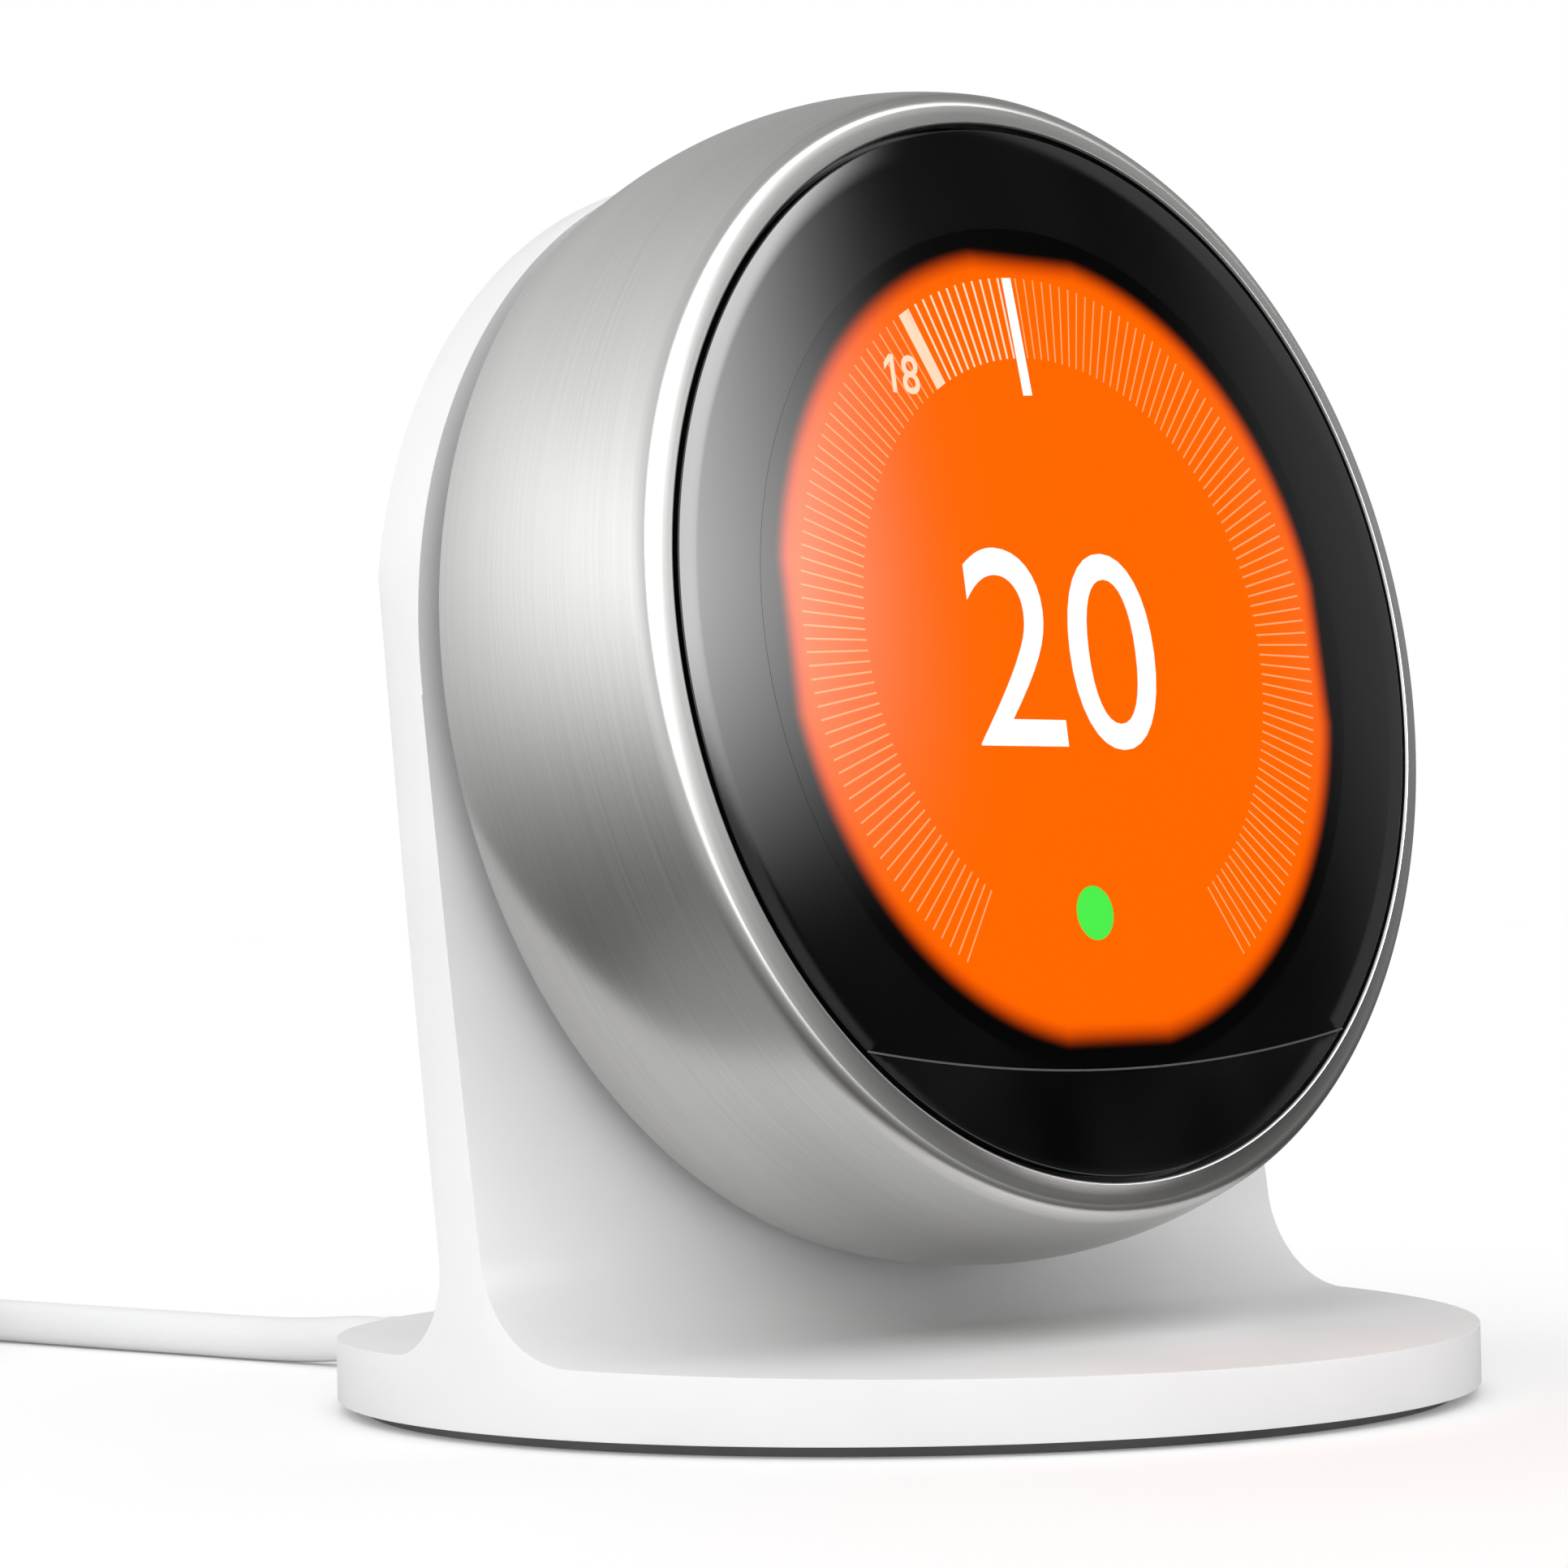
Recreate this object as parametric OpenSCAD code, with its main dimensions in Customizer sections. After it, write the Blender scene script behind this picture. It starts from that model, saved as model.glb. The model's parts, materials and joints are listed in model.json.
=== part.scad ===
// Round dial thermostat on a table stand, with its low-voltage supply cord.
// Millimetres. +Z is up, the dial faces -Y, and the origin is the middle of the
// foot's underside. Pieces of the dial are drawn in the dial's own frame, whose
// +Z points out of the face and whose zero is the rim of the face lens.

/* [Stand] */
// Radius of the round foot
foot_r = 41; // [36:0.5:50]
// Height of the foot's wall at the front
foot_wall_h = 4.1; // [3.6:0.1:6]
// Rise of the foot's top between its rim and the upright
foot_crown = 0.6; // [0.2:0.1:1.2]
// Wall thickness of the foot's shell
foot_wall_t = 1.2; // [1:0.1:1.6]
// Thickness of the grip pad under the foot
pad_h = 0.8; // [0.6:0.1:1.5]
// Distance that the grip pad stands back from the foot's wall
pad_inset = 1.9; // [1:0.1:3]
// Thickness of the upright plate
upright_t = 4.4; // [4.2:0.1:7]
// Radius of the upright's round top
upright_r = 40.55; // [36:0.05:46]
// Radius of the hollow blend between foot and upright at the front
front_blend_r = 8; // [4:0.5:12]
// Radius of the hollow blend between foot and upright at the back
rear_blend_r = 6; // [4:0.5:10]

/* [Dial position] */
// Lean of the dial and of the upright from the vertical, in degrees
dial_tilt = 8.2; // [4:0.1:12]
// Place of the face's centre in front of the foot's middle
dial_forward = 16.7; // [12:0.1:20]
// Height of the face's centre above the foot's wall, beyond the ring's radius
ring_over_foot = 6.3; // [4:0.1:20]
// Distance from the face's rim back to the upright
dial_standoff = 22.2; // [21.8:0.1:26]

/* [Ring] */
// Largest outside diameter of the turning ring
ring_d = 84; // [80:0.5:96]
// Depth of the ring from front to back
ring_depth = 19.6; // [18.6:0.1:20]
// Radius of the barrel curve along the ring's side
ring_barrel_r = 30.3; // [24:0.1:60]
// Distance from the front to the ring's widest place
ring_widest = 11.5; // [9:0.1:14]
// Wall thickness of the ring at its widest place
ring_wall = 1.8; // [1.4:0.1:2.4]
// Thickness of the ring's front lip
ring_lip_t = 1.4; // [1.2:0.1:1.5]
// Free space between the lens and the ring's lip
lip_gap = 0.4; // [0.2:0.05:0.6]
// Radial running clearance of the ring on the face frame
bearing_clear = 0.08; // [0.02:0.01:0.1]

/* [Face] */
// Diameter of the face lens
lens_d = 74.4; // [70:0.2:80]
// Thickness of the lens at its rim
lens_t = 1.1; // [0.8:0.1:1.5]
// Height of the lens's dome
lens_dome = 0.5; // [0.2:0.1:1.2]
// Width and height of the display panel
panel_size = 54; // [48:0.5:56]
// Thickness of the display panel
panel_t = 2.1; // [1.5:0.1:2.3]
// Thickness of the backlight behind the panel
backlight_t = 1.6; // [1.2:0.1:1.8]
// Distance that the face can be pressed in
press_travel = 0.6; // [0.3:0.1:0.8]
// Radius of the posts that guide the face
guide_r = 1.5; // [1.2:0.1:2]
// Radial running clearance on posts and pins
pin_clear = 0.08; // [0.02:0.01:0.1]

/* [Back of the display] */
// Radius of the rear case
case_r = 38.2; // [37.8:0.1:38.4]
// Wall thickness of the rear case
case_wall = 0.9; // [0.8:0.05:1]
// Thickness of the rear case's floor
case_floor = 1.2; // [1:0.1:1.5]
// Thickness of the circuit boards
board_t = 1.2; // [0.8:0.1:1.2]
// Size of the battery pack
battery_size = [34, 22, 4.6];

/* [Dock] */
// Radius of the dock's flange on the upright
dock_r = 36.5; // [34.5:0.1:37]
// Thickness of the dock's flange
dock_t = 1.6; // [1.4:0.1:1.8]
// Radius of the dock's raised wall
dock_wall_r = 34; // [33.4:0.1:34.2]
// Radius of the latch posts on the display
latch_r = 1.5; // [1.2:0.1:1.8]

/* [Cord] */
// Diameter of the supply cord
cord_d = 3.5; // [3:0.1:4]
// Radius at the middle of the coil's turns
coil_r = 20.25; // [17.5:0.25:21]

/* [Hidden] */

$fn = 160;
cut = 1;                 // how far cutters run past a surface
seam = 0.15;             // gap around let-in covers

// Stand
foot_top = pad_h + foot_wall_h;
dial_height = foot_top + ring_d / 2 + ring_over_foot;
foot_ceiling = foot_top - foot_wall_t;
cavity_r = foot_r - 2.2;
plate_t = 0.8;
plate_top = pad_h + plate_t;
ballast_r = cavity_r - 1.6;
foot_screw_pcr = 31;
foot_screw_r = 0.75;
foot_head_r = 1.9;
foot_head_h = 0.4;
boss_r = 2.4;
edge_round = 0.5;
cover_size = [30, 52];
cover_t = 1;
cover_y = -8;
lead_r = 0.8;
lead_x = -10;
lead_y = -8;
lead_z = (plate_top + foot_ceiling) / 2;
lead_back = upright_t - cover_t - lead_r - 0.5;

// Dial stack, measured back from the lens rim
lens_r = lens_d / 2;
gasket_t = 0.3;
frame_front = -lens_t - gasket_t;
flange_t = 0.6;
flange_r = lens_r + lip_gap - 0.15;
frame_r = lens_r - 0.2;
frame_wall = 1.4;
panel_front = -lens_t - 0.1;
backlight_front = panel_front - panel_t;
web_top = backlight_front - backlight_t;
web_t = 0.8;
web_bottom = web_top - web_t;
frame_bottom = -10;
land_front = frame_front - flange_t - 0.1;
land_back = -6;
snap_t = 1;
snap_r = frame_r + 1.3;
snap_depth = 0.4;
window_seam_r = 150;
window_seam_y = -29.8;
sensor_y = -32.2;
sensor_board_size = [16, 4.4];
window_gap = 0.1;

// Ring
ring_r = ring_d / 2;
lip_r = lens_r + lip_gap;
barrel_x = ring_r - ring_barrel_r;
shoulder_z = -1.5;
shoulder_round = 1.3;
shoulder_a = asin((ring_widest + shoulder_z) / ring_barrel_r);
shoulder_r = barrel_x + ring_barrel_r * cos(shoulder_a);
liner_bore_r = ring_r - ring_wall;
liner_front_r = shoulder_r - 1.1;
liner_back = -17.5;
liner_in_r = case_r + 0.4;
band_t = 0.3;
band_front = -3;
band_back = -5.2;

// Display back
case_front = -8.2;
floor_top = -15.8;
floor_bottom = floor_top - case_floor;
board_back = floor_top + 0.6;
board_front = board_back + board_t;
main_board_r = 34;
guide_pcr = 30.5;
guide_angles = [90, 210, 330];
latch_pcr = 29.5;
latch_angles = [30, 150, 270];
board_screw_at = [23, 19.3];
switch_at = [0, -6];
switch_size = [6, 6, 2];
plunger_r = 1.4;
plunger_top = board_front + switch_size[2] + press_travel;
touch_gap = 0.05;
sleeve_r = 3.2;
sleeve_bottom = -9.5;
spring_wire_r = 0.22;
spring_r = guide_r + pin_clear + spring_wire_r + 0.35;
spring_turns = 3;
spring_steps = 12;
spring_sides = 6;

// Dock, measured in the dial frame
upright_front = -dial_standoff;
dock_front = upright_front + dock_t;
dock_board_size = [34, 26];
socket_size = [24, 8];
socket_wall = 1.5;
socket_front = floor_bottom + 1.2;
socket_floor = 0.4;
plug_clear = 0.3;
dock_screw_pcr = 24;
dock_screw_angles = [90, 210, 330];
dock_screw_r = 1;
dock_head_r = 1.9;
dock_head_h = 1.2;
grommet_r = 3;
grommet_front = floor_bottom - 0.4;
latch_end = dock_front + 0.4;

// Cord. The route is a list of points on the table, and the coil lies at its end.
cord_r = cord_d / 2;
gland_x = -10;
boot_z = 2.3;
boot_start_r = 2.05;
boot_end_r = 1.85;
boot_in = foot_r - 4;
boot_out = foot_r + 5;
run_points = [
    [-10, 46, 2.3], [-10, 49, 2.3], [-10.1, 52, 2.1], [-10.3, 56, 1.85],
    [-10.6, 61, 1.75], [-11, 68, 1.75],
    [-11.5, 76, 1.75], [-12, 85, 1.75], [-12.5, 94, 1.75], [-13.4, 103, 1.75], [-14.75, 112, 1.75]
];
tail_points = [
    [-14.75, 112, 15.75], [-15.5, 116.5, 15.75], [-17.8, 120.4, 16.2], [-21.3, 123.3, 17.2], [-28, 125, 18]
];
coil_columns = 3;
coil_layers = 4;
coil_h = coil_layers * cord_d;
coil_half = coil_columns * cord_r;
coil_start = run_points[len(run_points) - 1];
coil_at = [coil_start[0] - coil_r - coil_half + cord_r, coil_start[1]];
plug_at = tail_points[len(tail_points) - 1];
plug_body_size = [22, 12, 8];
plug_shell_size = [13, 12, 4.5];
plug_shell_t = 0.3;
plug_tongue_t = 1.8;

// Puts its children in the dial's frame.
module on_dial() {
    translate([0, -dial_forward, dial_height]) rotate([90 - dial_tilt, 0, 0]) children();
}

// Lets a disc or a tube start at one depth and end at another.
module disc(r, low, high) {
    translate([0, 0, low]) cylinder(r = r, h = high - low);
}

module tube(r_out, r_in, low, high) {
    difference() {
        disc(r_out, low, high);
        disc(r_in, low - cut, high + cut);
    }
}

// A block centred on X and Y that starts at one depth and ends at another.
module block(size, low, high) {
    translate([-size[0] / 2, -size[1] / 2, low]) cube([size[0], size[1], high - low]);
}

// Repeats its children round the dial's axis.
module around(pcr, angles) {
    for (a = angles) rotate([0, 0, a]) translate([pcr, 0, 0]) children();
}

// Points of a hollow round blend between two edges that leave a corner.
function blend_points(corner, a1, a2, r, steps) =
    let (half = abs(a2 - a1) / 2, mid = (a1 + a2) / 2,
         centre = corner + r / sin(half) * [cos(mid), sin(mid)],
         turn = 180 - 2 * half)
    [for (i = [0:steps]) let (a = mid + 180 + turn * (0.5 - i / steps))
        centre + r * [cos(a), sin(a)]];

// Where a depth behind the lens and a height above the table meet, in the side view.
function side_y(depth, z) =
    -dial_forward + depth / cos(dial_tilt) + (z - dial_height) * tan(dial_tilt);

crown_z = foot_top + foot_crown;
lean = 90 - dial_tilt;
slope_front = atan(foot_crown / (foot_r + side_y(dial_standoff, crown_z)));
rear_foot_y = side_y(dial_standoff + upright_t, crown_z);
slope_rear = atan(foot_crown / (foot_r - rear_foot_y));

// Side view of the stand: X here is the row's Y, and Y here is its Z.
module stand_profile() {
    front_y = side_y(dial_standoff, crown_z);
    top_z = dial_height + upright_r + 5;
    polygon(concat(
        [[foot_r + cut, pad_h - cut], [foot_r + cut, foot_top - cut * tan(slope_rear)]],
        blend_points([rear_foot_y, crown_z], -slope_rear, lean, rear_blend_r, 8),
        [[side_y(dial_standoff + upright_t, top_z), top_z], [side_y(dial_standoff, top_z), top_z]],
        blend_points([front_y, crown_z], lean, 180 + slope_front, front_blend_r, 10),
        [[-foot_r - cut, foot_top - cut * tan(slope_front)], [-foot_r - cut, pad_h - cut]]
    ));
}

// The round wall of the foot, carried up past the upright, with an eased lower edge.
module round_wall() {
    translate([0, 0, pad_h]) cylinder(r1 = foot_r - edge_round, r2 = foot_r, h = edge_round);
    disc(foot_r, pad_h + edge_round, dial_height + upright_r + 9);
}

// What is cut away above the dial's centre to leave the upright's round top.
module top_cutter() {
    wide = 2 * foot_r + 10;
    on_dial() difference() {
        translate([-wide / 2, 0, -2 * dial_standoff]) cube([wide, wide, 3 * dial_standoff]);
        disc(upright_r, -3 * dial_standoff, 3 * dial_standoff);
    }
}

module stand_body() {
    wide = 2 * foot_r + 10;
    difference() {
        intersection() {
            rotate([90, 0, 90]) translate([0, 0, -wide / 2]) linear_extrude(wide) stand_profile();
            round_wall();
        }
        top_cutter();
    }
}

// Straight round stretches that meet in balls, for a lead laid in a channel.
module lead_path(r) {
    turn_y = side_y(dial_standoff + lead_back, lead_z);
    up = (dial_height - lead_z) / cos(dial_tilt) - (dial_standoff + lead_back) * tan(dial_tilt);
    translate([lead_x, turn_y, lead_z]) rotate([-90, 0, 0]) cylinder(r = r, h = boot_in - turn_y);
    translate([lead_x, turn_y, lead_z]) sphere(r = r + 0.03, $fn = 32);
    translate([lead_x, turn_y, lead_z]) rotate([-dial_tilt, 0, 0]) cylinder(r = r, h = up + lead_y);
    on_dial() translate([lead_x, lead_y, 0]) {
        translate([0, 0, upright_front - lead_back]) sphere(r = r + 0.03, $fn = 32);
        disc(r, upright_front - lead_back, dock_front);
    }
}

module cord_notch(extra) {
    translate([gland_x, foot_r - 6, boot_z]) rotate([-90, 0, 0]) {
        cylinder(r = boot_start_r + extra, h = 12);
        translate([-boot_start_r - extra, 0, 0]) cube([2 * (boot_start_r + extra), 10, 12]);
    }
}

module stand_shell() {
    color("white") difference() {
        union() {
            difference() {
                stand_body();
                disc(cavity_r, pad_h - cut, foot_ceiling);
            }
            around(foot_screw_pcr, [45:90:315]) disc(boss_r, plate_top, foot_ceiling);
        }
        around(foot_screw_pcr, [45:90:315]) disc(foot_screw_r + 0.1, pad_h, foot_ceiling - 0.1);
        cord_notch(seam / 3);
        difference() {
            lead_path(lead_r + 0.3);
            disc(2 * foot_r, -cut, foot_ceiling - 0.1);
        }
        on_dial() {
            translate([0, cover_y, 0])
                block(cover_size + [2 * seam, 2 * seam], -2 * dial_standoff,
                      upright_front - upright_t + cover_t);
            around(dock_screw_pcr, dock_screw_angles)
                disc(dock_screw_r + 0.05, upright_front - 3, upright_front + cut);
        }
    }
}

module back_cover() {
    color("whitesmoke") on_dial() translate([0, cover_y, 0])
        block(cover_size, upright_front - upright_t, upright_front - upright_t + cover_t);
}

module ballast_plate() {
    color("slategray") difference() {
        disc(ballast_r, plate_top, foot_ceiling - 0.1);
        around(foot_screw_pcr, [45:90:315]) disc(boss_r + 0.3, 0, foot_top);
        translate([lead_x - lead_r - 0.4, -3, 0]) cube([2 * (lead_r + 0.4), foot_r, foot_top]);
    }
}

module bottom_plate() {
    color("gainsboro") difference() {
        disc(cavity_r - seam, pad_h, plate_top);
        around(foot_screw_pcr, [45:90:315]) {
            disc(foot_head_r + 0.1, 0, pad_h + foot_head_h);
            disc(foot_screw_r + 0.15, 0, foot_top);
        }
        cord_notch(seam);
    }
}

module grip_pad() {
    color("gray") difference() {
        disc(foot_r - pad_inset, 0, pad_h);
        cord_notch(2 * seam);
    }
}

module foot_screws() {
    color("silver") around(foot_screw_pcr, [45:90:315]) {
        disc(foot_head_r, pad_h, pad_h + foot_head_h);
        disc(foot_screw_r, pad_h, foot_ceiling - 0.4);
    }
}

module supply_lead() {
    color("dimgray") lead_path(lead_r);
}

module dock_base() {
    color("lightgray") on_dial() difference() {
        union() {
            disc(dock_r, upright_front, dock_front);
            tube(dock_wall_r, dock_wall_r - 1.4, upright_front, floor_bottom - 0.3);
        }
        around(dock_screw_pcr, dock_screw_angles) disc(dock_screw_r + 0.1, upright_front - cut, 0);
        translate([lead_x, lead_y, 0]) disc(lead_r + 0.3, upright_front - cut, 0);
    }
}

module dock_board() {
    color("darkgreen") on_dial() block(dock_board_size, dock_front, dock_front + board_t);
}

module dock_socket() {
    inner = socket_size - 2 * [socket_wall, socket_wall];
    color("black") on_dial() difference() {
        block(socket_size, dock_front + board_t, socket_front);
        block(inner, dock_front + board_t + socket_floor, socket_front + cut);
    }
}

module dock_screws() {
    color("silver") on_dial() around(dock_screw_pcr, dock_screw_angles) {
        disc(dock_head_r, dock_front, dock_front + dock_head_h);
        disc(dock_screw_r, upright_front - 2.8, dock_front);
    }
}

module latch_grommets() {
    color("dimgray") on_dial() around(latch_pcr, latch_angles)
        tube(grommet_r, latch_r + pin_clear, dock_front, grommet_front);
}

module cord_boot() {
    color("white") translate([gland_x, boot_in, boot_z]) rotate([-90, 0, 0]) {
        cylinder(r = boot_start_r, h = foot_r - boot_in);
        translate([0, 0, foot_r - boot_in])
            cylinder(r1 = boot_start_r, r2 = boot_end_r, h = boot_out - foot_r);
    }
}

// Points, directions and a swept tube along a route.
function unit(v) = v / norm(v);
function heading(p, i) =
    unit(p[min(i + 1, len(p) - 1)] - p[max(i - 1, 0)]);
function ring_at(p, i, r, sides) =
    let (d = heading(p, i), s = unit(cross(d, [0, 0, 1])), u = cross(s, d))
    [for (k = [0:sides - 1]) p[i] + r * (cos(360 * k / sides) * s + sin(360 * k / sides) * u)];

module sweep(p, r, sides) {
    rows = len(p);
    polyhedron(
        points = [for (i = [0:rows - 1]) each ring_at(p, i, r, sides)],
        faces = concat(
            [[for (k = [0:sides - 1]) k]],
            [for (i = [0:rows - 2], k = [0:sides - 1])
                let (n = (k + 1) % sides)
                [i * sides + k, (i + 1) * sides + k, (i + 1) * sides + n, i * sides + n]],
            [[for (k = [sides - 1:-1:0]) (rows - 1) * sides + k]]
        )
    );
}

module cord_run() {
    color("white") sweep(run_points, cord_r, 8);
}

module cord_coil() {
    color("white") translate([coil_at[0], coil_at[1], 0]) rotate_extrude()
        translate([coil_r - coil_half, 0]) square([2 * coil_half, coil_h]);
}

module cord_tail() {
    color("white") sweep(tail_points, cord_r, 8);
}

// Puts its children at the plug, whose nose points along -X.
module at_plug() {
    translate(plug_at) rotate([0, 0, 180]) children();
}

module plug_body() {
    color("white") at_plug() translate([0, -plug_body_size[1] / 2, -plug_body_size[2] / 2])
        cube(plug_body_size);
}

module plug_shell() {
    s = plug_shell_size;
    color("silver") at_plug() translate([plug_body_size[0], 0, 0]) difference() {
        translate([0, -s[1] / 2, -s[2] / 2]) cube(s);
        translate([plug_shell_t, plug_shell_t - s[1] / 2, plug_shell_t - s[2] / 2])
            cube([s[0], s[1] - 2 * plug_shell_t, s[2] - 2 * plug_shell_t]);
    }
}

module plug_tongue() {
    s = plug_shell_size;
    wide = s[1] - 2 * plug_shell_t;
    color("dimgray") at_plug()
        translate([plug_body_size[0] + plug_shell_t, -wide / 2, s[2] / 2 - plug_shell_t - plug_tongue_t])
            cube([s[0] - 1.5, wide, plug_tongue_t]);
}

module rear_case() {
    color("dimgray") on_dial() difference() {
        union() {
            disc(case_r, floor_bottom, floor_top);
            tube(case_r, case_r - case_wall, floor_bottom, case_front);
            for (x = [-1, 1], y = [-1, 1])
                translate([x * board_screw_at[0], y * board_screw_at[1], 0])
                    disc(2.4, floor_bottom, board_back);
        }
        for (x = [-1, 1], y = [-1, 1])
            translate([x * board_screw_at[0], y * board_screw_at[1], 0])
                disc(0.8, floor_bottom + 0.3, 0);
        block(socket_size + [1, 1], floor_bottom - cut, floor_top + cut);
    }
}

module latch_posts() {
    color("silver") on_dial() around(latch_pcr, latch_angles) disc(latch_r, latch_end, floor_bottom);
}

module main_board() {
    color("darkgreen") on_dial() difference() {
        disc(main_board_r, board_back, board_front);
        for (x = [-1, 1], y = [-1, 1])
            translate([x * board_screw_at[0], y * board_screw_at[1], 0]) disc(0.9, floor_bottom, 0);
        around(guide_pcr, guide_angles) disc(guide_r + 0.4, floor_bottom, 0);
    }
}

module board_screws() {
    color("silver") on_dial() for (x = [-1, 1], y = [-1, 1])
        translate([x * board_screw_at[0], y * board_screw_at[1], 0]) {
            disc(0.7, floor_bottom + 0.5, board_front);
            disc(1.6, board_front, board_front + 0.8);
        }
}

module display_plug() {
    inner = socket_size - 2 * [socket_wall, socket_wall];
    color("black") on_dial()
        block(inner - 2 * [plug_clear, plug_clear], dock_front + board_t + socket_floor + 0.2, board_back);
}

module shield_cans() {
    color("silver") on_dial() {
        translate([-12, -15, 0]) block([16, 12], board_front, board_front + 1.6);
        translate([12, -15, 0]) block([12, 12], board_front, board_front + 1.6);
    }
}

module battery_pack() {
    color("steelblue") on_dial() translate([0, 12, 0])
        block(battery_size, board_front, board_front + battery_size[2]);
}

module buzzer() {
    color("black") on_dial() translate([24, 4, 0]) disc(5, board_front, board_front + 1.8);
}

module switch_body() {
    color("black") on_dial() translate(switch_at) difference() {
        block(switch_size, board_front, board_front + switch_size[2]);
        disc(plunger_r + pin_clear, board_front + 0.1, 0);
    }
}

module switch_plunger() {
    color("white") on_dial() translate(switch_at)
        disc(plunger_r, board_front + 0.1 + press_travel + touch_gap, plunger_top);
}

module guide_posts() {
    color("silver") on_dial() around(guide_pcr, guide_angles)
        disc(guide_r, floor_top, web_bottom - press_travel - 0.2);
}

// A coil spring from one depth to another, wound round the dial frame's Z.
module spring(low, high) {
    total = spring_turns * spring_steps;
    path = [for (i = [0:total])
        [spring_r * cos(360 * i / spring_steps), spring_r * sin(360 * i / spring_steps),
         low + spring_wire_r + (high - low - 2 * spring_wire_r) * i / total]];
    sweep(path, spring_wire_r, spring_sides);
}

module return_springs() {
    color("silver") on_dial() around(guide_pcr, guide_angles)
        spring(board_front + 0.02, sleeve_bottom - 0.02);
}

module face_frame() {
    color("dimgray") on_dial() difference() {
        union() {
            disc(flange_r, frame_front - flange_t, frame_front);
            tube(frame_r, frame_r - frame_wall, frame_bottom, frame_front);
            disc(frame_r - 0.1, web_bottom, web_top);
            around(guide_pcr, guide_angles) disc(sleeve_r, sleeve_bottom, web_top);
            translate(switch_at) disc(2, plunger_top + touch_gap, web_top);
        }
        disc(panel_size / 2 + 2, web_top, 0);
        around(guide_pcr, guide_angles) disc(guide_r + pin_clear, frame_bottom - cut, web_bottom);
        tube(frame_r + cut, frame_r - snap_depth - 0.05, land_back - 0.1 - snap_t, land_back - 0.1);
        translate([0, sensor_y, 0]) block(sensor_board_size + [0.6, 0.6], web_top, 0);
        translate([0, -23.5, 0]) block([13, 1.2], frame_bottom, 0);
        rotate([0, 0, 180]) translate([frame_r, 0, 0]) block([4, 5], band_back + 0.2, band_front);
    }
}

module frame_gasket() {
    color("black") on_dial() difference() {
        tube(frame_r, frame_r - frame_wall, frame_front, -lens_t);
        translate([0, sensor_y, 0]) block(sensor_board_size + [0.6, 0.6], frame_front - cut, 0);
    }
}

module panel_outline(size) {
    intersection() {
        circle(r = size / 2 + 1.2);
        square([size, size], center = true);
    }
}

module backlight() {
    color("white") on_dial() translate([0, 0, web_top]) linear_extrude(backlight_t)
        panel_outline(panel_size - 1);
}

module display_panel() {
    color("orange") on_dial() translate([0, 0, backlight_front]) linear_extrude(panel_t)
        panel_outline(panel_size);
}

module panel_ribbon() {
    color("peru") on_dial() {
        translate([0, -23.5, 0]) block([12, 0.4], board_front + 2.6, web_top);
        translate([0, -20.7, 0]) block([12, 6], board_front + 2.3, board_front + 2.6);
    }
}

// The shallow dome of the lens, turned from a row of points on its curve.
module lens_blank() {
    steps = 10;
    rotate_extrude() polygon(concat(
        [[0, -lens_t], [lens_r, -lens_t]],
        [for (i = [steps:-1:0]) [lens_r * i / steps, lens_dome * (1 - pow(i / steps, 2))]]
    ));
}

// The side of the curved seam that the sensor window lies on.
module below_seam(gap) {
    translate([0, window_seam_y + window_seam_r, 0]) difference() {
        translate([-2 * lens_r, -window_seam_r - 2 * lens_r, -5])
            cube([4 * lens_r, 2 * lens_r + window_seam_r / 2, 10]);
        disc(window_seam_r + gap, -6, 6);
    }
}

module face_lens() {
    color("black") on_dial() difference() {
        lens_blank();
        below_seam(0);
    }
}

module sensor_window() {
    color("black") on_dial() intersection() {
        lens_blank();
        below_seam(window_gap);
    }
}

module sensor_board() {
    color("darkgreen") on_dial() translate([0, sensor_y, 0])
        block(sensor_board_size, web_top, web_top + 1);
}

module motion_sensor() {
    color("silver") on_dial() translate([0, sensor_y, 0]) disc(2, web_top + 1, -lens_t - 0.3);
}

module light_sensor() {
    color("black") on_dial() translate([5.5, sensor_y, 0]) block([2, 2], web_top + 1, web_top + 1.8);
}

module ring_reader() {
    color("black") on_dial() translate([-32, 0, 0]) block([6, 6], web_top, web_top + 2.4);
}

module snap_ring() {
    color("silver") on_dial() difference() {
        tube(snap_r, frame_r - snap_depth, land_back - 0.1 - snap_t, land_back - 0.1);
        translate([0, -frame_r, 0]) block([5, 6], frame_bottom, 0);
    }
}

function barrel_point(a) =
    [barrel_x + ring_barrel_r * cos(a), ring_barrel_r * sin(a) - ring_widest];

// Half section of the ring: a sloping lip, a round shoulder and a barrel side.
module ring_section() {
    lip_round = 0.2;
    top = [barrel_x + (ring_barrel_r - shoulder_round) * cos(shoulder_a),
           (ring_barrel_r - shoulder_round) * sin(shoulder_a) - ring_widest];
    rear_a = -asin((ring_depth - ring_widest) / ring_barrel_r);
    polygon(concat(
        [[lip_r, -ring_lip_t]],
        [for (a = [180:-30:90]) [lip_r + lip_round, -lip_round] + lip_round * [cos(a), sin(a)]],
        [for (i = [0:6]) let (a = 90 + (shoulder_a - 90) * i / 6) top + shoulder_round * [cos(a), sin(a)]],
        [for (i = [1:8]) barrel_point(shoulder_a * (1 - i / 8))],
        [for (i = [1:7]) barrel_point(rear_a * i / 7)],
        [[liner_bore_r, -ring_depth], [liner_bore_r, land_back]],
        [[liner_front_r, land_back], [liner_front_r, -ring_lip_t]]
    ));
}

module ring_shell() {
    color("silver") on_dial() rotate_extrude() ring_section();
}

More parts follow.
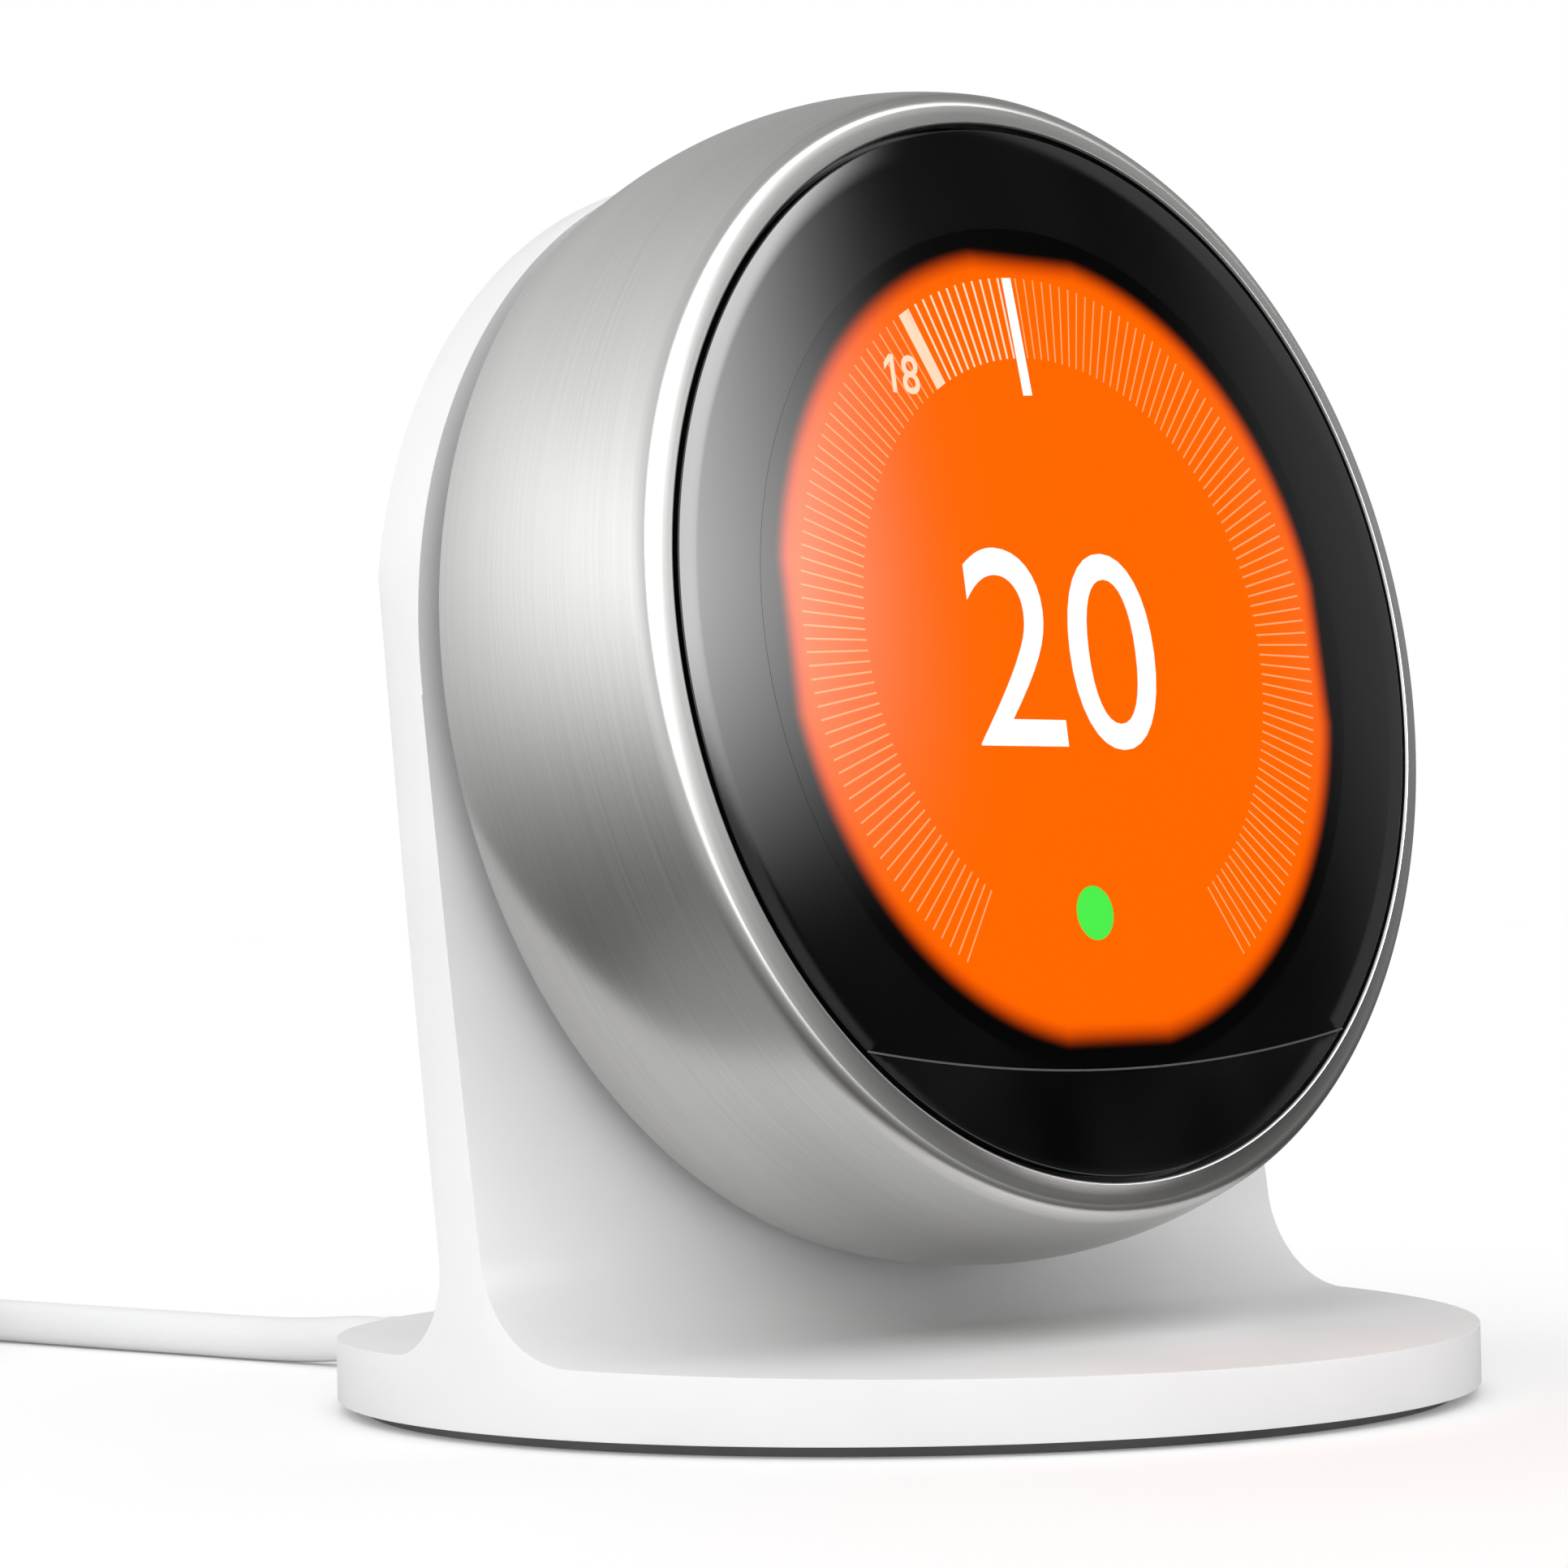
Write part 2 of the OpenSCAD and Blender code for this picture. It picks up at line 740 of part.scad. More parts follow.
module ring_liner() {
    color("dimgray") on_dial() difference() {
        union() {
            disc(liner_front_r, land_back, -ring_lip_t);
            disc(liner_bore_r, liner_back, land_back);
        }
        disc(liner_in_r, liner_back - cut, land_back);
        disc(frame_r + bearing_clear, land_back - cut, 0);
        disc(flange_r + 0.25, land_front, 0);
        disc(frame_r + 0.7, band_back, band_front);
    }
}

module encoder_band() {
    color("black") on_dial() tube(frame_r + 0.7, frame_r + 0.7 - band_t, band_back, band_front);
}

stand_shell();
back_cover();
ballast_plate();
bottom_plate();
grip_pad();
foot_screws();
supply_lead();
dock_base();
dock_board();
dock_socket();
dock_screws();
latch_grommets();
cord_boot();
cord_run();
cord_coil();
cord_tail();
plug_body();
plug_shell();
plug_tongue();
rear_case();
latch_posts();
main_board();
board_screws();
display_plug();
shield_cans();
battery_pack();
buzzer();
switch_body();
switch_plunger();
guide_posts();
return_springs();
face_frame();
frame_gasket();
backlight();
display_panel();
panel_ribbon();
face_lens();
sensor_window();
sensor_board();
motion_sensor();
light_sensor();
ring_reader();
snap_ring();
ring_shell();
ring_liner();
encoder_band();
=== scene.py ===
"""A round dial thermostat on a white table stand, with its supply cord put away behind it."""

import json
import math

import bmesh
import bpy
from mathutils import Matrix, Vector


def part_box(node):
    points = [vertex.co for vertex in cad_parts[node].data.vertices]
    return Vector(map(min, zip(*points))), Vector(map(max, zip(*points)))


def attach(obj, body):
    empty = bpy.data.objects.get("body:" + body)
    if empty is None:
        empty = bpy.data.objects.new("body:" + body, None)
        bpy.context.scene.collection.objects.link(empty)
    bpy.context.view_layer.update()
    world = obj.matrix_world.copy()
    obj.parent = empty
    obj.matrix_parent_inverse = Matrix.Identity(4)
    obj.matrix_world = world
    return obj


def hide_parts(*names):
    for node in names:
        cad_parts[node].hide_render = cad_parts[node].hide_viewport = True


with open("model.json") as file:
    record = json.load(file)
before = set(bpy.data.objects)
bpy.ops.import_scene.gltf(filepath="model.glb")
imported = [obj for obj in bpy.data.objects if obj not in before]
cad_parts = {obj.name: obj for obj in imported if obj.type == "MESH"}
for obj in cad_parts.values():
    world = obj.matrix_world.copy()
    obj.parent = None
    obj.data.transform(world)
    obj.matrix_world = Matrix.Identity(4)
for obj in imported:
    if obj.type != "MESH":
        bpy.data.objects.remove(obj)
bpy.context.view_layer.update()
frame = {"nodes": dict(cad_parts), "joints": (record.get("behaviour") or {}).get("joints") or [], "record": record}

MM = 0.001


# ---------------------------------------------------------------- places

# The dial's own frame: X to the right, Y up the face, Z out of the face.
ring_joint = next(j for j in frame["joints"] if j["name"] == "ring_turn")
FACE_MIDDLE = Vector(ring_joint["pos_m"])
OUT = Vector(ring_joint["axis"]).normalized()
RIGHT = Vector((1, 0, 0))
UP = OUT.cross(RIGHT)
TILT = math.asin(OUT.z)
DIAL = Matrix.Translation(FACE_MIDDLE) @ Matrix((RIGHT, UP, OUT)).transposed().to_4x4()


def half_width(node):
    """Half of a CAD node's size along X."""
    low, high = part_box(node)
    return (high.x - low.x) / 2


# Ring
RING_R = half_width("ring_shell")
RING_DEPTH = 19.6 * MM
RING_WIDEST = 11.5 * MM
BARREL_R = 30.3 * MM
SHOULDER_Z = -1.5 * MM
SHOULDER_ROUND = 1.3 * MM
LIP_T = 1.4 * MM
LIP_GAP = 0.4 * MM
LIP_ROUND = 0.2 * MM
RING_BORE = RING_R - 1.8 * MM
RING_FRONT_BORE = RING_R - 3.1 * MM
RING_LAND = 6 * MM

# Lens and what shows in it
LENS_R = half_width("face_lens")
LENS_T = 1.1 * MM
LENS_DOME = 0.5 * MM
LENS_EASE = 0.12 * MM
SEAM_R = 150 * MM
SEAM_Y = -29.8 * MM
SEAM_GAP = 0.1 * MM
SEAM_HALF = 24.9 * MM
LIT_R = 27.8 * MM
LIT_FLAT = 27.3 * MM
LIT_BLUR = 1.1 * MM
TICK_IN = 20.6 * MM
TICK_OUT = 26.4 * MM
TICK_W = 0.13 * MM
TICK_PITCH = math.radians(2.008)
TICK_HALF_COUNT = 73
READING = math.radians(-29.5)
SET_POINT = math.radians(-4.1)
MARK_W = 0.95 * MM
SET_MARK_IN = TICK_IN - 2.7 * MM
TARGET_AT, TARGET_HIGH = (-1.0 * MM, -0.35 * MM), 14.1 * MM
EIGHT_AT, EIGHT_HIGH = (-13.05 * MM, 18.6 * MM), 2.75 * MM
ONE_AT, ONE_HIGH, ONE_STROKE = (-14.75 * MM, 18.6 * MM), 2.7 * MM, 0.42 * MM
DOT_AT, DOT_R = (-1.1 * MM, -18.9 * MM), 1.9 * MM
PRINT_LIFT = 0.015 * MM

# Stand
FOOT_R = half_width("stand_shell")
PAD_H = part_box("stand_shell")[0].z
FOOT_TOP = PAD_H + 4.1 * MM
CROWN = 0.6 * MM
UPRIGHT_T = 4.4 * MM
UPRIGHT_R = 40.55 * MM
STANDOFF = 22.2 * MM
FRONT_BLEND = 8 * MM
REAR_BLEND = 6 * MM
EDGE_EASE = 0.45 * MM
COVER_WIDE, COVER_HIGH, COVER_T = 30 * MM, 52 * MM, 1 * MM
COVER_Y = -8 * MM
COVER_SEAM = 0.15 * MM
PAST_STAND = 120 * MM
STAND_SHARP = math.radians(32)

# Cord
CORD_D = 3.5 * MM
COIL_R = 20.25 * MM
COIL_COLUMNS = 3
COIL_LAYERS = 4
TIE_TURN = math.radians(212)
GROOVES, GROOVE_FIRST, GROOVE_PITCH, GROOVE_W = 3, 6 * MM, 3.2 * MM, 1 * MM
RUN = [
    (-10, 46, 2.3), (-10, 49, 2.3), (-10.1, 52, 2.1), (-10.3, 56, 1.85), (-10.6, 61, 1.75),
    (-11, 68, 1.75), (-11.5, 76, 1.75), (-12, 85, 1.75), (-12.5, 94, 1.75), (-13.4, 103, 1.75),
    (-14.75, 112, 1.75),
]
TAIL = [
    (-14.75, 112, 15.75), (-15.5, 116.5, 15.75), (-17.8, 120.4, 16.2), (-21.3, 123.3, 17.2),
    (-28, 125, 18),
]


# ---------------------------------------------------------------- camera

CAMERA_AT = Vector((-254.9, -243.5, 35.65)) * MM
CAMERA_TURN = math.radians(44.978)
CAMERA_RISE = math.radians(1.393)
CAMERA_ROLL = math.radians(-0.989)
CAMERA_LENS = 111.8


def add_camera():
    """The camera stands low and to the left of the dial, and looks slightly up."""
    ahead = Vector((
        math.sin(CAMERA_TURN) * math.cos(CAMERA_RISE),
        math.cos(CAMERA_TURN) * math.cos(CAMERA_RISE),
        math.sin(CAMERA_RISE),
    ))
    level = Vector((math.cos(CAMERA_TURN), -math.sin(CAMERA_TURN), 0))
    above = level.cross(ahead)
    right = level * math.cos(CAMERA_ROLL) + above * math.sin(CAMERA_ROLL)
    up = right.cross(ahead)
    data = bpy.data.cameras.new("camera")
    data.lens = CAMERA_LENS
    data.sensor_width = 36
    data.clip_start = 0.01
    data.clip_end = 50
    camera = bpy.data.objects.new("camera", data)
    camera.matrix_world = (
        Matrix.Translation(CAMERA_AT) @ Matrix((right, up, -ahead)).transposed().to_4x4()
    )
    bpy.context.scene.collection.objects.link(camera)
    bpy.context.scene.camera = camera


# ---------------------------------------------------------------- materials

class Finish:
    """A node material with one Principled shader, and short ways to add its nodes."""

    def __init__(self, name, **constants):
        self.material = bpy.data.materials.new(name)
        self.material.use_nodes = True
        self.tree = self.material.node_tree
        self.shader = self.tree.nodes["Principled BSDF"]
        for socket, value in constants.items():
            self.shader.inputs[socket.replace("_", " ")].default_value = value

    def node(self, kind, **settings):
        made = self.tree.nodes.new("ShaderNode" + kind)
        for key, value in settings.items():
            setattr(made, key, value)
        return made

    def link(self, source, target):
        self.tree.links.new(source, target)

    def place(self, turn=(0, 0, 0), shift=(0, 0, 0), scale=(1, 1, 1)):
        """Object coordinates, turned, moved and scaled."""
        coords = self.node("TexCoord")
        mapping = self.node("Mapping")
        mapping.inputs["Location"].default_value = shift
        mapping.inputs["Rotation"].default_value = turn
        mapping.inputs["Scale"].default_value = scale
        self.link(coords.outputs["Object"], mapping.inputs["Vector"])
        return mapping.outputs["Vector"]

    def on_dial(self):
        """Object coordinates in the dial's own frame: Z is out of the face."""
        turn = DIAL.inverted().to_euler()
        return self.place(turn=turn, shift=DIAL.inverted().translation)

    def from_axis(self):
        """X, Y and Z in the dial's own frame, and the distance from the dial's axis."""
        split = self.node("SeparateXYZ")
        self.link(self.on_dial(), split.inputs[0])
        x, y, z = split.outputs
        squares = self.math("ADD", self.math("MULTIPLY", x, x), self.math("MULTIPLY", y, y))
        return x, y, z, self.math("SQRT", squares)

    def math(self, operation, first, second=None):
        made = self.node("Math", operation=operation)
        for socket, value in zip(made.inputs, (first, second)):
            if isinstance(value, (int, float)):
                socket.default_value = value
            elif value is not None:
                self.link(value, socket)
        return made.outputs[0]

    def noise(self, vector, scale, detail=2.0, roughness=0.5):
        made = self.node("TexNoise")
        made.inputs["Scale"].default_value = scale
        made.inputs["Detail"].default_value = detail
        made.inputs["Roughness"].default_value = roughness
        self.link(vector, made.inputs["Vector"])
        return made.outputs["Fac"]

    def spread(self, value, low, high):
        """A 0 to 1 value, carried over to run from low to high."""
        made = self.node("MapRange")
        made.inputs["To Min"].default_value = low
        made.inputs["To Max"].default_value = high
        self.link(value, made.inputs["Value"])
        return made.outputs["Result"]

    def ramp(self, value, *stops):
        made = self.node("ValToRGB")
        band = made.color_ramp
        while len(band.elements) < len(stops):
            band.elements.new(0.5)
        for element, (position, colour) in zip(band.elements, stops):
            element.position = position
            element.color = (*colour, 1)
        self.link(value, made.inputs["Fac"])
        return made.outputs["Color"]

    def bump(self, height, strength, distance):
        made = self.node("Bump")
        made.inputs["Strength"].default_value = strength
        made.inputs["Distance"].default_value = distance
        self.link(height, made.inputs["Height"])
        self.link(made.outputs["Normal"], self.shader.inputs["Normal"])

    def into(self, socket, value):
        self.link(value, self.shader.inputs[socket])


def moulded(name, dark, light, rough, grain=1800, depth=0.02):
    """Moulded plastic or rubber: a fine grain, and a faint cloudiness in colour and gloss."""
    finish = Finish(name)
    place = finish.place()
    cloud = finish.noise(place, 60, 3)
    finish.into("Base Color", finish.ramp(cloud, (0.3, dark), (0.7, light)))
    fine = finish.noise(place, grain, 2)
    finish.into("Roughness", finish.spread(fine, rough - 0.04, rough + 0.04))
    finish.bump(fine, 0.15, depth * MM)
    return finish.material


def sheet_metal(name, dark, light, rough, stretch=(1, 1, 1)):
    """Plated or rolled metal, with a faint grain drawn along one way."""
    finish = Finish(name, Metallic=1.0)
    grain = finish.noise(finish.place(scale=stretch), 700, 4, 0.6)
    finish.into("Base Color", finish.ramp(grain, (0.35, dark), (0.65, light)))
    finish.into("Roughness", finish.spread(grain, rough - 0.06, rough + 0.08))
    finish.bump(grain, 0.1, 0.01 * MM)
    return finish.material


def brushed_round():
    """Stainless steel, brushed round the dial's axis in lines of uneven depth."""
    finish = Finish("ring_steel", Metallic=1.0, Anisotropic=0.45)
    x, y, z, away = finish.from_axis()
    angle = finish.math("ARCTAN2", y, x)

    def lines(per_metre, per_turn, detail, roughness):
        """Noise drawn out round the axis: fine across the lines, long along them."""
        place = finish.node("CombineXYZ")
        parts = ((away, per_metre), (z, per_metre), (angle, per_turn))
        for socket, (value, scale) in zip(place.inputs, parts):
            finish.link(finish.math("MULTIPLY", value, scale), socket)
        return finish.noise(place.outputs[0], 1.0, detail, roughness)

    scratch = finish.math("MULTIPLY", lines(14000, 0.9, 3, 0.65), 0.65)
    band = finish.math("MULTIPLY", lines(4500, 1.6, 2, 0.5), 0.35)
    both = finish.math("ADD", scratch, band)
    finish.into("Base Color", finish.ramp(both, (0.3, (0.59, 0.585, 0.575)),
                                          (0.5, (0.64, 0.637, 0.625)), (0.7, (0.7, 0.697, 0.685))))
    finish.into("Roughness", finish.spread(both, 0.24, 0.36))
    finish.bump(both, 0.12, 0.02 * MM)
    # The brushing's direction: square to the axis and to the way out from it.
    around = finish.node("VectorMath", operation="CROSS_PRODUCT")
    coords = finish.node("TexCoord")
    from_axis = finish.node("VectorMath", operation="SUBTRACT")
    finish.link(coords.outputs["Object"], from_axis.inputs[0])
    from_axis.inputs[1].default_value = FACE_MIDDLE
    around.inputs[0].default_value = OUT
    finish.link(from_axis.outputs[0], around.inputs[1])
    finish.into("Tangent", around.outputs[0])
    return finish.material


GLASS_IOR = 1.7
SCREEN_GLOSS = 0.06


def black_glass(name, tint):
    """Polished glass, printed black on its underside, with a trace of unevenness in the gloss."""
    finish = Finish(name, IOR=GLASS_IOR)
    haze = finish.noise(finish.on_dial(), 45, 2)
    finish.into("Roughness", finish.spread(haze, 0.05, 0.09))
    finish.into("Base Color", finish.ramp(haze, (0.3, (0.002, 0.002, 0.002)), (0.7, tint)))
    return finish.material


def lit_screen():
    """The lit screen under the glass. Its light fades out over a narrow edge."""
    finish = Finish("lit_screen", IOR=GLASS_IOR, Roughness=SCREEN_GLOSS, Emission_Strength=1.0)
    x, y, _, away = finish.from_axis()
    past_round = finish.math("SUBTRACT", away, LIT_R)
    sides = finish.math("MAXIMUM", finish.math("ABSOLUTE", x), finish.math("ABSOLUTE", y))
    past_flat = finish.math("SUBTRACT", sides, LIT_FLAT)
    past = finish.math("MAXIMUM", past_round, past_flat)
    edge = finish.node("MapRange", interpolation_type="SMOOTHSTEP")
    edge.inputs["From Min"].default_value = -LIT_BLUR
    edge.inputs["From Max"].default_value = LIT_BLUR
    finish.link(past, edge.inputs["Value"])
    glow = finish.ramp(edge.outputs["Result"], (0.0, (1.0, 0.13, 0.0)), (0.55, (0.55, 0.055, 0.0)),
                       (1.0, (0.0, 0.0, 0.0)))
    finish.into("Emission Color", glow)
    finish.into("Base Color", finish.ramp(edge.outputs["Result"], (0.0, (0.1, 0.01, 0.0)),
                                          (1.0, (0.002, 0.002, 0.002))))
    return finish.material


def lit_mark(name, colour, strength):
    """A mark on the lit screen: its own light, seen through the same glass."""
    finish = Finish(name, IOR=GLASS_IOR, Roughness=SCREEN_GLOSS, Emission_Strength=strength,
                    Base_Color=(0.05, 0.05, 0.05, 1))
    haze = finish.noise(finish.on_dial(), 300, 1)
    near = tuple(0.94 * c for c in colour)
    finish.into("Emission Color", finish.ramp(haze, (0.3, near), (0.7, colour)))
    return finish.material


def circuit_board():
    """Green solder mask over copper: lighter lines in two directions, and a fine weave."""
    finish = Finish("circuit_board", Roughness=0.35, Coat_Weight=0.4, Coat_Roughness=0.15)
    place = finish.on_dial()
    cells = finish.node("TexBrick")
    cells.inputs["Scale"].default_value = 260
    cells.inputs["Mortar Size"].default_value = 0.03
    cells.inputs["Color1"].default_value = (0.01, 0.09, 0.04, 1)
    cells.inputs["Color2"].default_value = (0.013, 0.11, 0.05, 1)
    cells.inputs["Mortar"].default_value = (0.03, 0.2, 0.09, 1)
    finish.link(place, cells.inputs["Vector"])
    finish.into("Base Color", cells.outputs["Color"])
    finish.bump(finish.noise(place, 2500, 1), 0.1, 0.01 * MM)
    return finish.material


def shrink_film():
    """Blue film, drawn tight over the cells in long soft wrinkles."""
    finish = Finish("battery_film", Coat_Weight=0.5, Coat_Roughness=0.1)
    wrinkle = finish.noise(finish.place(scale=(1, 4, 4)), 120, 3)
    finish.into("Base Color", finish.ramp(wrinkle, (0.3, (0.02, 0.08, 0.2)),
                                          (0.7, (0.04, 0.13, 0.3))))
    finish.into("Roughness", finish.spread(wrinkle, 0.2, 0.35))
    finish.bump(wrinkle, 0.3, 0.08 * MM)
    return finish.material


def amber_film():
    """Thin amber film with the copper lines of a ribbon cable."""
    finish = Finish("ribbon_film", Roughness=0.25, Coat_Weight=0.3)
    lines = finish.node("TexWave", wave_type="BANDS", bands_direction="X")
    lines.inputs["Scale"].default_value = 300
    finish.link(finish.place(), lines.inputs["Vector"])
    finish.into("Base Color", finish.ramp(lines.outputs["Fac"], (0.3, (0.35, 0.14, 0.02)),
                                          (0.7, (0.62, 0.28, 0.08))))
    return finish.material


def cord_skin():
    """Soft white jacket: smooth, with a faint drag along it."""
    finish = Finish("cord_jacket", Subsurface_Weight=0.05)
    place = finish.place()
    drag = finish.noise(place, 900, 2)
    cloud = finish.noise(place, 40, 2)
    finish.into("Base Color", finish.ramp(cloud, (0.3, (0.8, 0.8, 0.8)), (0.7, (0.87, 0.87, 0.87))))
    finish.into("Roughness", finish.spread(drag, 0.38, 0.5))
    finish.bump(drag, 0.15, 0.03 * MM)
    return finish.material


FINISHES = {
    "stand_plastic": moulded("stand_white", (0.83, 0.83, 0.83), (0.88, 0.88, 0.88), 0.38,
                             grain=2600, depth=0.012),
    "ballast_steel": sheet_metal("ballast_zinc", (0.3, 0.31, 0.33), (0.42, 0.43, 0.45), 0.4),
    "base_plastic": moulded("moulded_grey", (0.6, 0.6, 0.6), (0.68, 0.68, 0.68), 0.45),
    "pad_rubber": moulded("grip_rubber", (0.1, 0.1, 0.1), (0.15, 0.15, 0.155), 0.7, 900, 0.05),
    "screw_steel": sheet_metal("screw_steel", (0.5, 0.5, 0.5), (0.68, 0.68, 0.68), 0.25),
    "black_plastic": moulded("moulded_black", (0.012, 0.012, 0.012), (0.025, 0.025, 0.025), 0.45),
    "circuit_board": circuit_board(),
    "cord_jacket": cord_skin(),
    "plug_metal": sheet_metal("nickel_sheet", (0.62, 0.61, 0.59), (0.76, 0.75, 0.73), 0.2,
                              (1, 5, 5)),
    "case_plastic": moulded("case_dark", (0.02, 0.02, 0.022), (0.035, 0.035, 0.038), 0.42),
    "battery_wrap": shrink_film(),
    "panel_orange": lit_screen(),
    "ribbon_film": amber_film(),
    "lens_black": black_glass("lens_glass", (0.006, 0.006, 0.006)),
    "window_black": black_glass("window_glass", (0.012, 0.012, 0.012)),
    "ring_steel": brushed_round(),
}


def dress_cad_nodes():
    """Every CAD node gets the finish of its slot in the record."""
    for part in frame["record"]["subparts"]:
        mesh = frame["nodes"][part["node"]].data
        mesh.materials.clear()
        mesh.materials.append(FINISHES[part["material_slot"]])


# ---------------------------------------------------------------- making pieces

WELD = 0.0001 * MM


def finished(bm, name, body, slot, stands_for=(), sharp=30, material=None):
    """Turns a bmesh into a piece that rides on a body and wears a slot's finish."""
    bmesh.ops.recalc_face_normals(bm, faces=bm.faces)
    mesh = bpy.data.meshes.new(name)
    bm.to_mesh(mesh)
    bm.free()
    for face in mesh.polygons:
        face.use_smooth = True
    mesh.set_sharp_from_angle(angle=math.radians(sharp))
    return piece_of(mesh, name, body, slot, stands_for, material)


def piece_of(data, name, body, slot, stands_for=(), material=None):
    """An object for a mesh or curve, in its body, with a slot's finish."""
    data.materials.clear()
    data.materials.append(material or FINISHES[slot])
    piece = bpy.data.objects.new(name, data)
    bpy.context.scene.collection.objects.link(piece)
    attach(piece, body)
    if stands_for:
        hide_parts(*stands_for)
    return piece


def spun(points, axis, steps, closed=True):
    """A section, turned a full round about an axis through the origin."""
    bm = bmesh.new()
    corners = [bm.verts.new(point) for point in points]
    ends = corners[1:] + (corners[:1] if closed else [])
    edges = [bm.edges.new(pair) for pair in zip(corners, ends)]
    bmesh.ops.spin(bm, geom=corners + edges, cent=(0, 0, 0), axis=axis, angle=2 * math.pi,
                   steps=steps, use_merge=True, use_duplicate=False)
    bmesh.ops.remove_doubles(bm, verts=bm.verts, dist=WELD)
    return bm


def turned(section, steps=256):
    """A closed section of (radius, depth) points, turned round the dial's axis."""
    bm = spun([(r, 0, z) for r, z in section], (0, 0, 1), steps)
    bmesh.ops.transform(bm, matrix=DIAL, verts=bm.verts)
    return bm


def arc(middle, radius, start, end, steps):
    """Points of an arc, in a section's own plane. Angles in degrees."""
    made = []
    for i in range(steps + 1):
        a = math.radians(start + (end - start) * i / steps)
        made.append((middle[0] + radius * math.cos(a), middle[1] + radius * math.sin(a)))
    return made


def cut_by(piece, cutter_bm, operation):
    """Cuts a piece with a closed shape, and keeps only the result."""
    mesh = bpy.data.meshes.new("cutter")
    bmesh.ops.recalc_face_normals(cutter_bm, faces=cutter_bm.faces)
    cutter_bm.to_mesh(mesh)
    cutter_bm.free()
    cutter = bpy.data.objects.new("cutter", mesh)
    bpy.context.scene.collection.objects.link(cutter)
    modifier = piece.modifiers.new("cut", "BOOLEAN")
    modifier.operation = operation
    modifier.solver = "EXACT"
    modifier.object = cutter
    keep_modifiers(piece)
    bpy.data.objects.remove(cutter)


def keep_modifiers(piece):
    """Makes what a piece's modifiers show into its mesh."""
    bpy.context.view_layer.update()
    shown = piece.evaluated_get(bpy.context.evaluated_depsgraph_get())
    mesh = bpy.data.meshes.new_from_object(shown)
    piece.modifiers.clear()
    piece.data = mesh


# ---------------------------------------------------------------- ring

def ring_section():
    """A sloping lip, a round shoulder, and a barrel side that narrows to the back."""
    barrel_x = RING_R - BARREL_R
    shoulder_rise = (RING_WIDEST + SHOULDER_Z) / BARREL_R
    shoulder = math.degrees(math.asin(shoulder_rise))
    back = -math.degrees(math.asin((RING_DEPTH - RING_WIDEST) / BARREL_R))
    lip_r = LENS_R + LIP_GAP
    within = BARREL_R - SHOULDER_ROUND
    top = (
        barrel_x + within * math.cos(math.radians(shoulder)),
        within * shoulder_rise - RING_WIDEST,
    )
    return (
        [(lip_r, -LIP_T)]
        + arc((lip_r + LIP_ROUND, -LIP_ROUND), LIP_ROUND, 180, 90, 6)
        + arc(top, SHOULDER_ROUND, 90, shoulder, 16)
        + arc((barrel_x, -RING_WIDEST), BARREL_R, shoulder, back, 36)[1:]
        + [(RING_BORE, -RING_DEPTH), (RING_BORE, -RING_LAND)]
        + [(RING_FRONT_BORE, -RING_LAND), (RING_FRONT_BORE, -LIP_T)]
    )


def make_ring():
    """The turning ring."""
    finished(turned(ring_section(), 320), "ring_metal", "ring", "ring_steel", ["ring_shell"],
             sharp=28)


# ---------------------------------------------------------------- lens and screen

def dome(away):
    """Height of the glass at a distance from its middle, in the dial's frame."""
    return LENS_DOME * (1 - (away / LENS_R) ** 2)


def glass_blank():
    """The whole domed glass with an eased rim, before the seam parts it."""
    rim = LENS_R - LENS_EASE
    curve = [(rim * i / 24, dome(rim * i / 24)) for i in range(1, 24)]
    section = (
        [(0, -LENS_T), (0, dome(0))]
        + curve
        + arc((rim, -LENS_EASE), LENS_EASE, 85, 0, 5)
        + [(LENS_R, -LENS_T)]
    )
    return turned(section)


def seam_cutter(gap):
    """A large disc, whose edge is the seam between lens and sensor window."""
    bm = bmesh.new()
    bmesh.ops.create_cone(bm, cap_ends=True, segments=720, radius1=SEAM_R + gap,
                          radius2=SEAM_R + gap, depth=10 * MM)
    bmesh.ops.transform(bm, verts=bm.verts,
                        matrix=DIAL @ Matrix.Translation((0, SEAM_Y + SEAM_R, 0)))
    return bm


def make_lens():
    """The lens and the sensor window, parted from one blank at the seam."""
    lens = finished(glass_blank(), "lens_glass", "face", "lens_black", ["face_lens"])
    cut_by(lens, seam_cutter(0), "INTERSECT")
    window = finished(glass_blank(), "window_glass", "face", "window_black", ["sensor_window"])
    cut_by(window, seam_cutter(SEAM_GAP), "DIFFERENCE")


def make_seam():
    """The fine grey line of the gasket between lens and sensor window."""
    reach = math.asin(SEAM_HALF / SEAM_R)
    width = 1.4 * SEAM_GAP
    bm = bmesh.new()
    start = [bm.verts.new((0, r, 0)) for r in (-SEAM_R - width / 2, -SEAM_R + width / 2)]
    edge = bm.edges.new(start)
    bmesh.ops.rotate(bm, verts=start, cent=(0, 0, 0), matrix=Matrix.Rotation(-reach, 3, "Z"))
    bmesh.ops.spin(bm, geom=[*start, edge], cent=(0, 0, 0), axis=(0, 0, 1), angle=2 * reach,
                   steps=80, use_merge=False, use_duplicate=False)
    bmesh.ops.translate(bm, vec=(0, SEAM_Y + SEAM_R, 0), verts=bm.verts)
    grey = moulded("seam_grey", (0.05, 0.05, 0.05), (0.07, 0.07, 0.07), 0.5)
    screen_piece(bm, "window_seam", PRINT_LIFT, grey, slot="pad_rubber")


